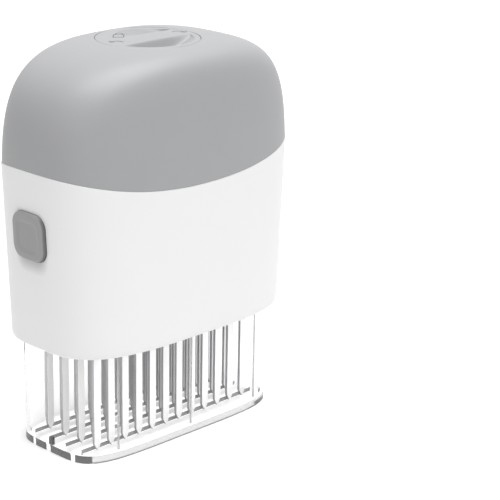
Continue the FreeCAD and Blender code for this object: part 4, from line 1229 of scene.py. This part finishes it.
def make_floor():
    """A large floor that takes the shadow, and glows a little where the eye sees it."""
    mesh = bpy.data.meshes.new("floor")
    half = FLOOR_HALF_SIZE * MM
    mesh.from_pydata(rectangle(-half, half, -half, half, 0.0), [], [(0, 1, 2, 3)])
    floor = bpy.data.objects.new("floor", mesh)
    bpy.context.scene.collection.objects.link(floor)
    material = principled("floor_white", FLOOR_COLOUR, 1.0, Specular_IOR_Level=0.0)
    plain = shader_of(material).outputs[0]
    glow = add_node(material, "ShaderNodeEmission", Strength=FLOOR_GLOW)
    lit = add_node(material, "ShaderNodeAddShader")
    feed(material, lit.inputs[0], plain)
    feed(material, lit.inputs[1], glow.outputs[0])
    mix_for_eye(material, plain, lit.outputs[0], "Material Output")
    floor.data.materials.append(material)


def add_lamp(name, place, size, power):
    """A square soft lamp that points at the middle of the press."""
    data = bpy.data.lights.new(name, "AREA")
    data.shape = "RECTANGLE"
    data.size = data.size_y = size * MM
    data.energy = power
    lamp = bpy.data.objects.new(name, data)
    bpy.context.scene.collection.objects.link(lamp)
    lamp.location = Vector(place) * MM
    lamp.rotation_euler = (LAMP_TARGET * MM - lamp.location).to_track_quat("-Z", "Y").to_euler()


# ---------------- the scene put together

bpy.context.scene.view_settings.view_transform = "Standard"
dome = make_dome_cap()
body = make_body_shell()
guard = make_guard()
blades = [make_blade_row(number) for number in range(BLADE_ROWS)]
knob = make_lock_knob()
marks = make_knob_marks()
buttons = [make_release_button(end) for end in ("left", "right")]
springs = make_return_springs() + make_button_springs()

LOOKS = {
    "dome_grey": make_plastic("dome_grey", (0.347, 0.350, 0.358, 1.0), 0.45),
    "body_white": make_body_white(),
    "button_grey": make_button_grey(),
    "clear_guard": make_clear("clear_plastic"),
    "blade_steel": make_blade_steel(),
    "fastener_steel": make_metal("fastener_steel", (0.5, 0.5, 0.52, 1.0), 0.3, (1.0, 1.0, 0.2)),
    "spring_steel": make_metal("spring_steel", (0.42, 0.42, 0.44, 1.0), 0.28, (0.2, 0.2, 1.0)),
    "frame_grey": make_plastic("frame_grey", (0.6, 0.6, 0.61, 1.0), 0.5),
    "holder_white": make_plastic("holder_white", (0.8, 0.8, 0.8, 1.0), 0.5),
}
# Darker grey painted as shade in the knob's rear recess
RECESS_PAINTED_SHADE = make_plastic("dome_grey_recess_painted_shade", (0.305, 0.308, 0.315, 1.0), 0.5)
MARK_GREY = make_plastic("mark_grey", (0.10, 0.10, 0.105, 1.0), 0.5)
# Greys painted as shade on the guard's slot walls, dark edges, tab, ribs and front side
SLOT_WALL_SHADE = make_plastic("clear_plastic_slot_wall_shade", (0.27, 0.27, 0.27, 1.0), 0.3,
                         Transmission_Weight=0.3, IOR=EDGE_IOR)
DARK_EDGE_SHADE = make_plastic("clear_plastic_dark_edge_shade", (0.11, 0.11, 0.11, 1.0), 0.3,
                         Transmission_Weight=0.2, IOR=EDGE_IOR)
FOOT_SIDE_SHADE = make_plastic("clear_plastic_side_shade", (0.74, 0.74, 0.74, 1.0), 0.2,
                         Transmission_Weight=0.6, IOR=1.06)

dress(dome, LOOKS["dome_grey"])
dress(knob, LOOKS["dome_grey"], RECESS_PAINTED_SHADE)
dress(marks, MARK_GREY)
dress(body, LOOKS["body_white"])
for pieces, slot in ((buttons, "button_grey"), (springs, "spring_steel"), (blades, "blade_steel")):
    for piece in pieces:
        dress(piece, LOOKS[slot])
for face in guard.data.polygons:
    face.material_index = guard_face_shade(face.center / MM, face.normal)
dress(guard, LOOKS["clear_guard"], SLOT_WALL_SHADE, DARK_EDGE_SHADE, FOOT_SIDE_SHADE)
for part in frame["record"]["subparts"]:
    dress(frame["nodes"][part["node"]], LOOKS[part["material_slot"]])

make_world()
make_floor()
for lamp in LAMPS:
    add_lamp(*lamp)
make_camera()
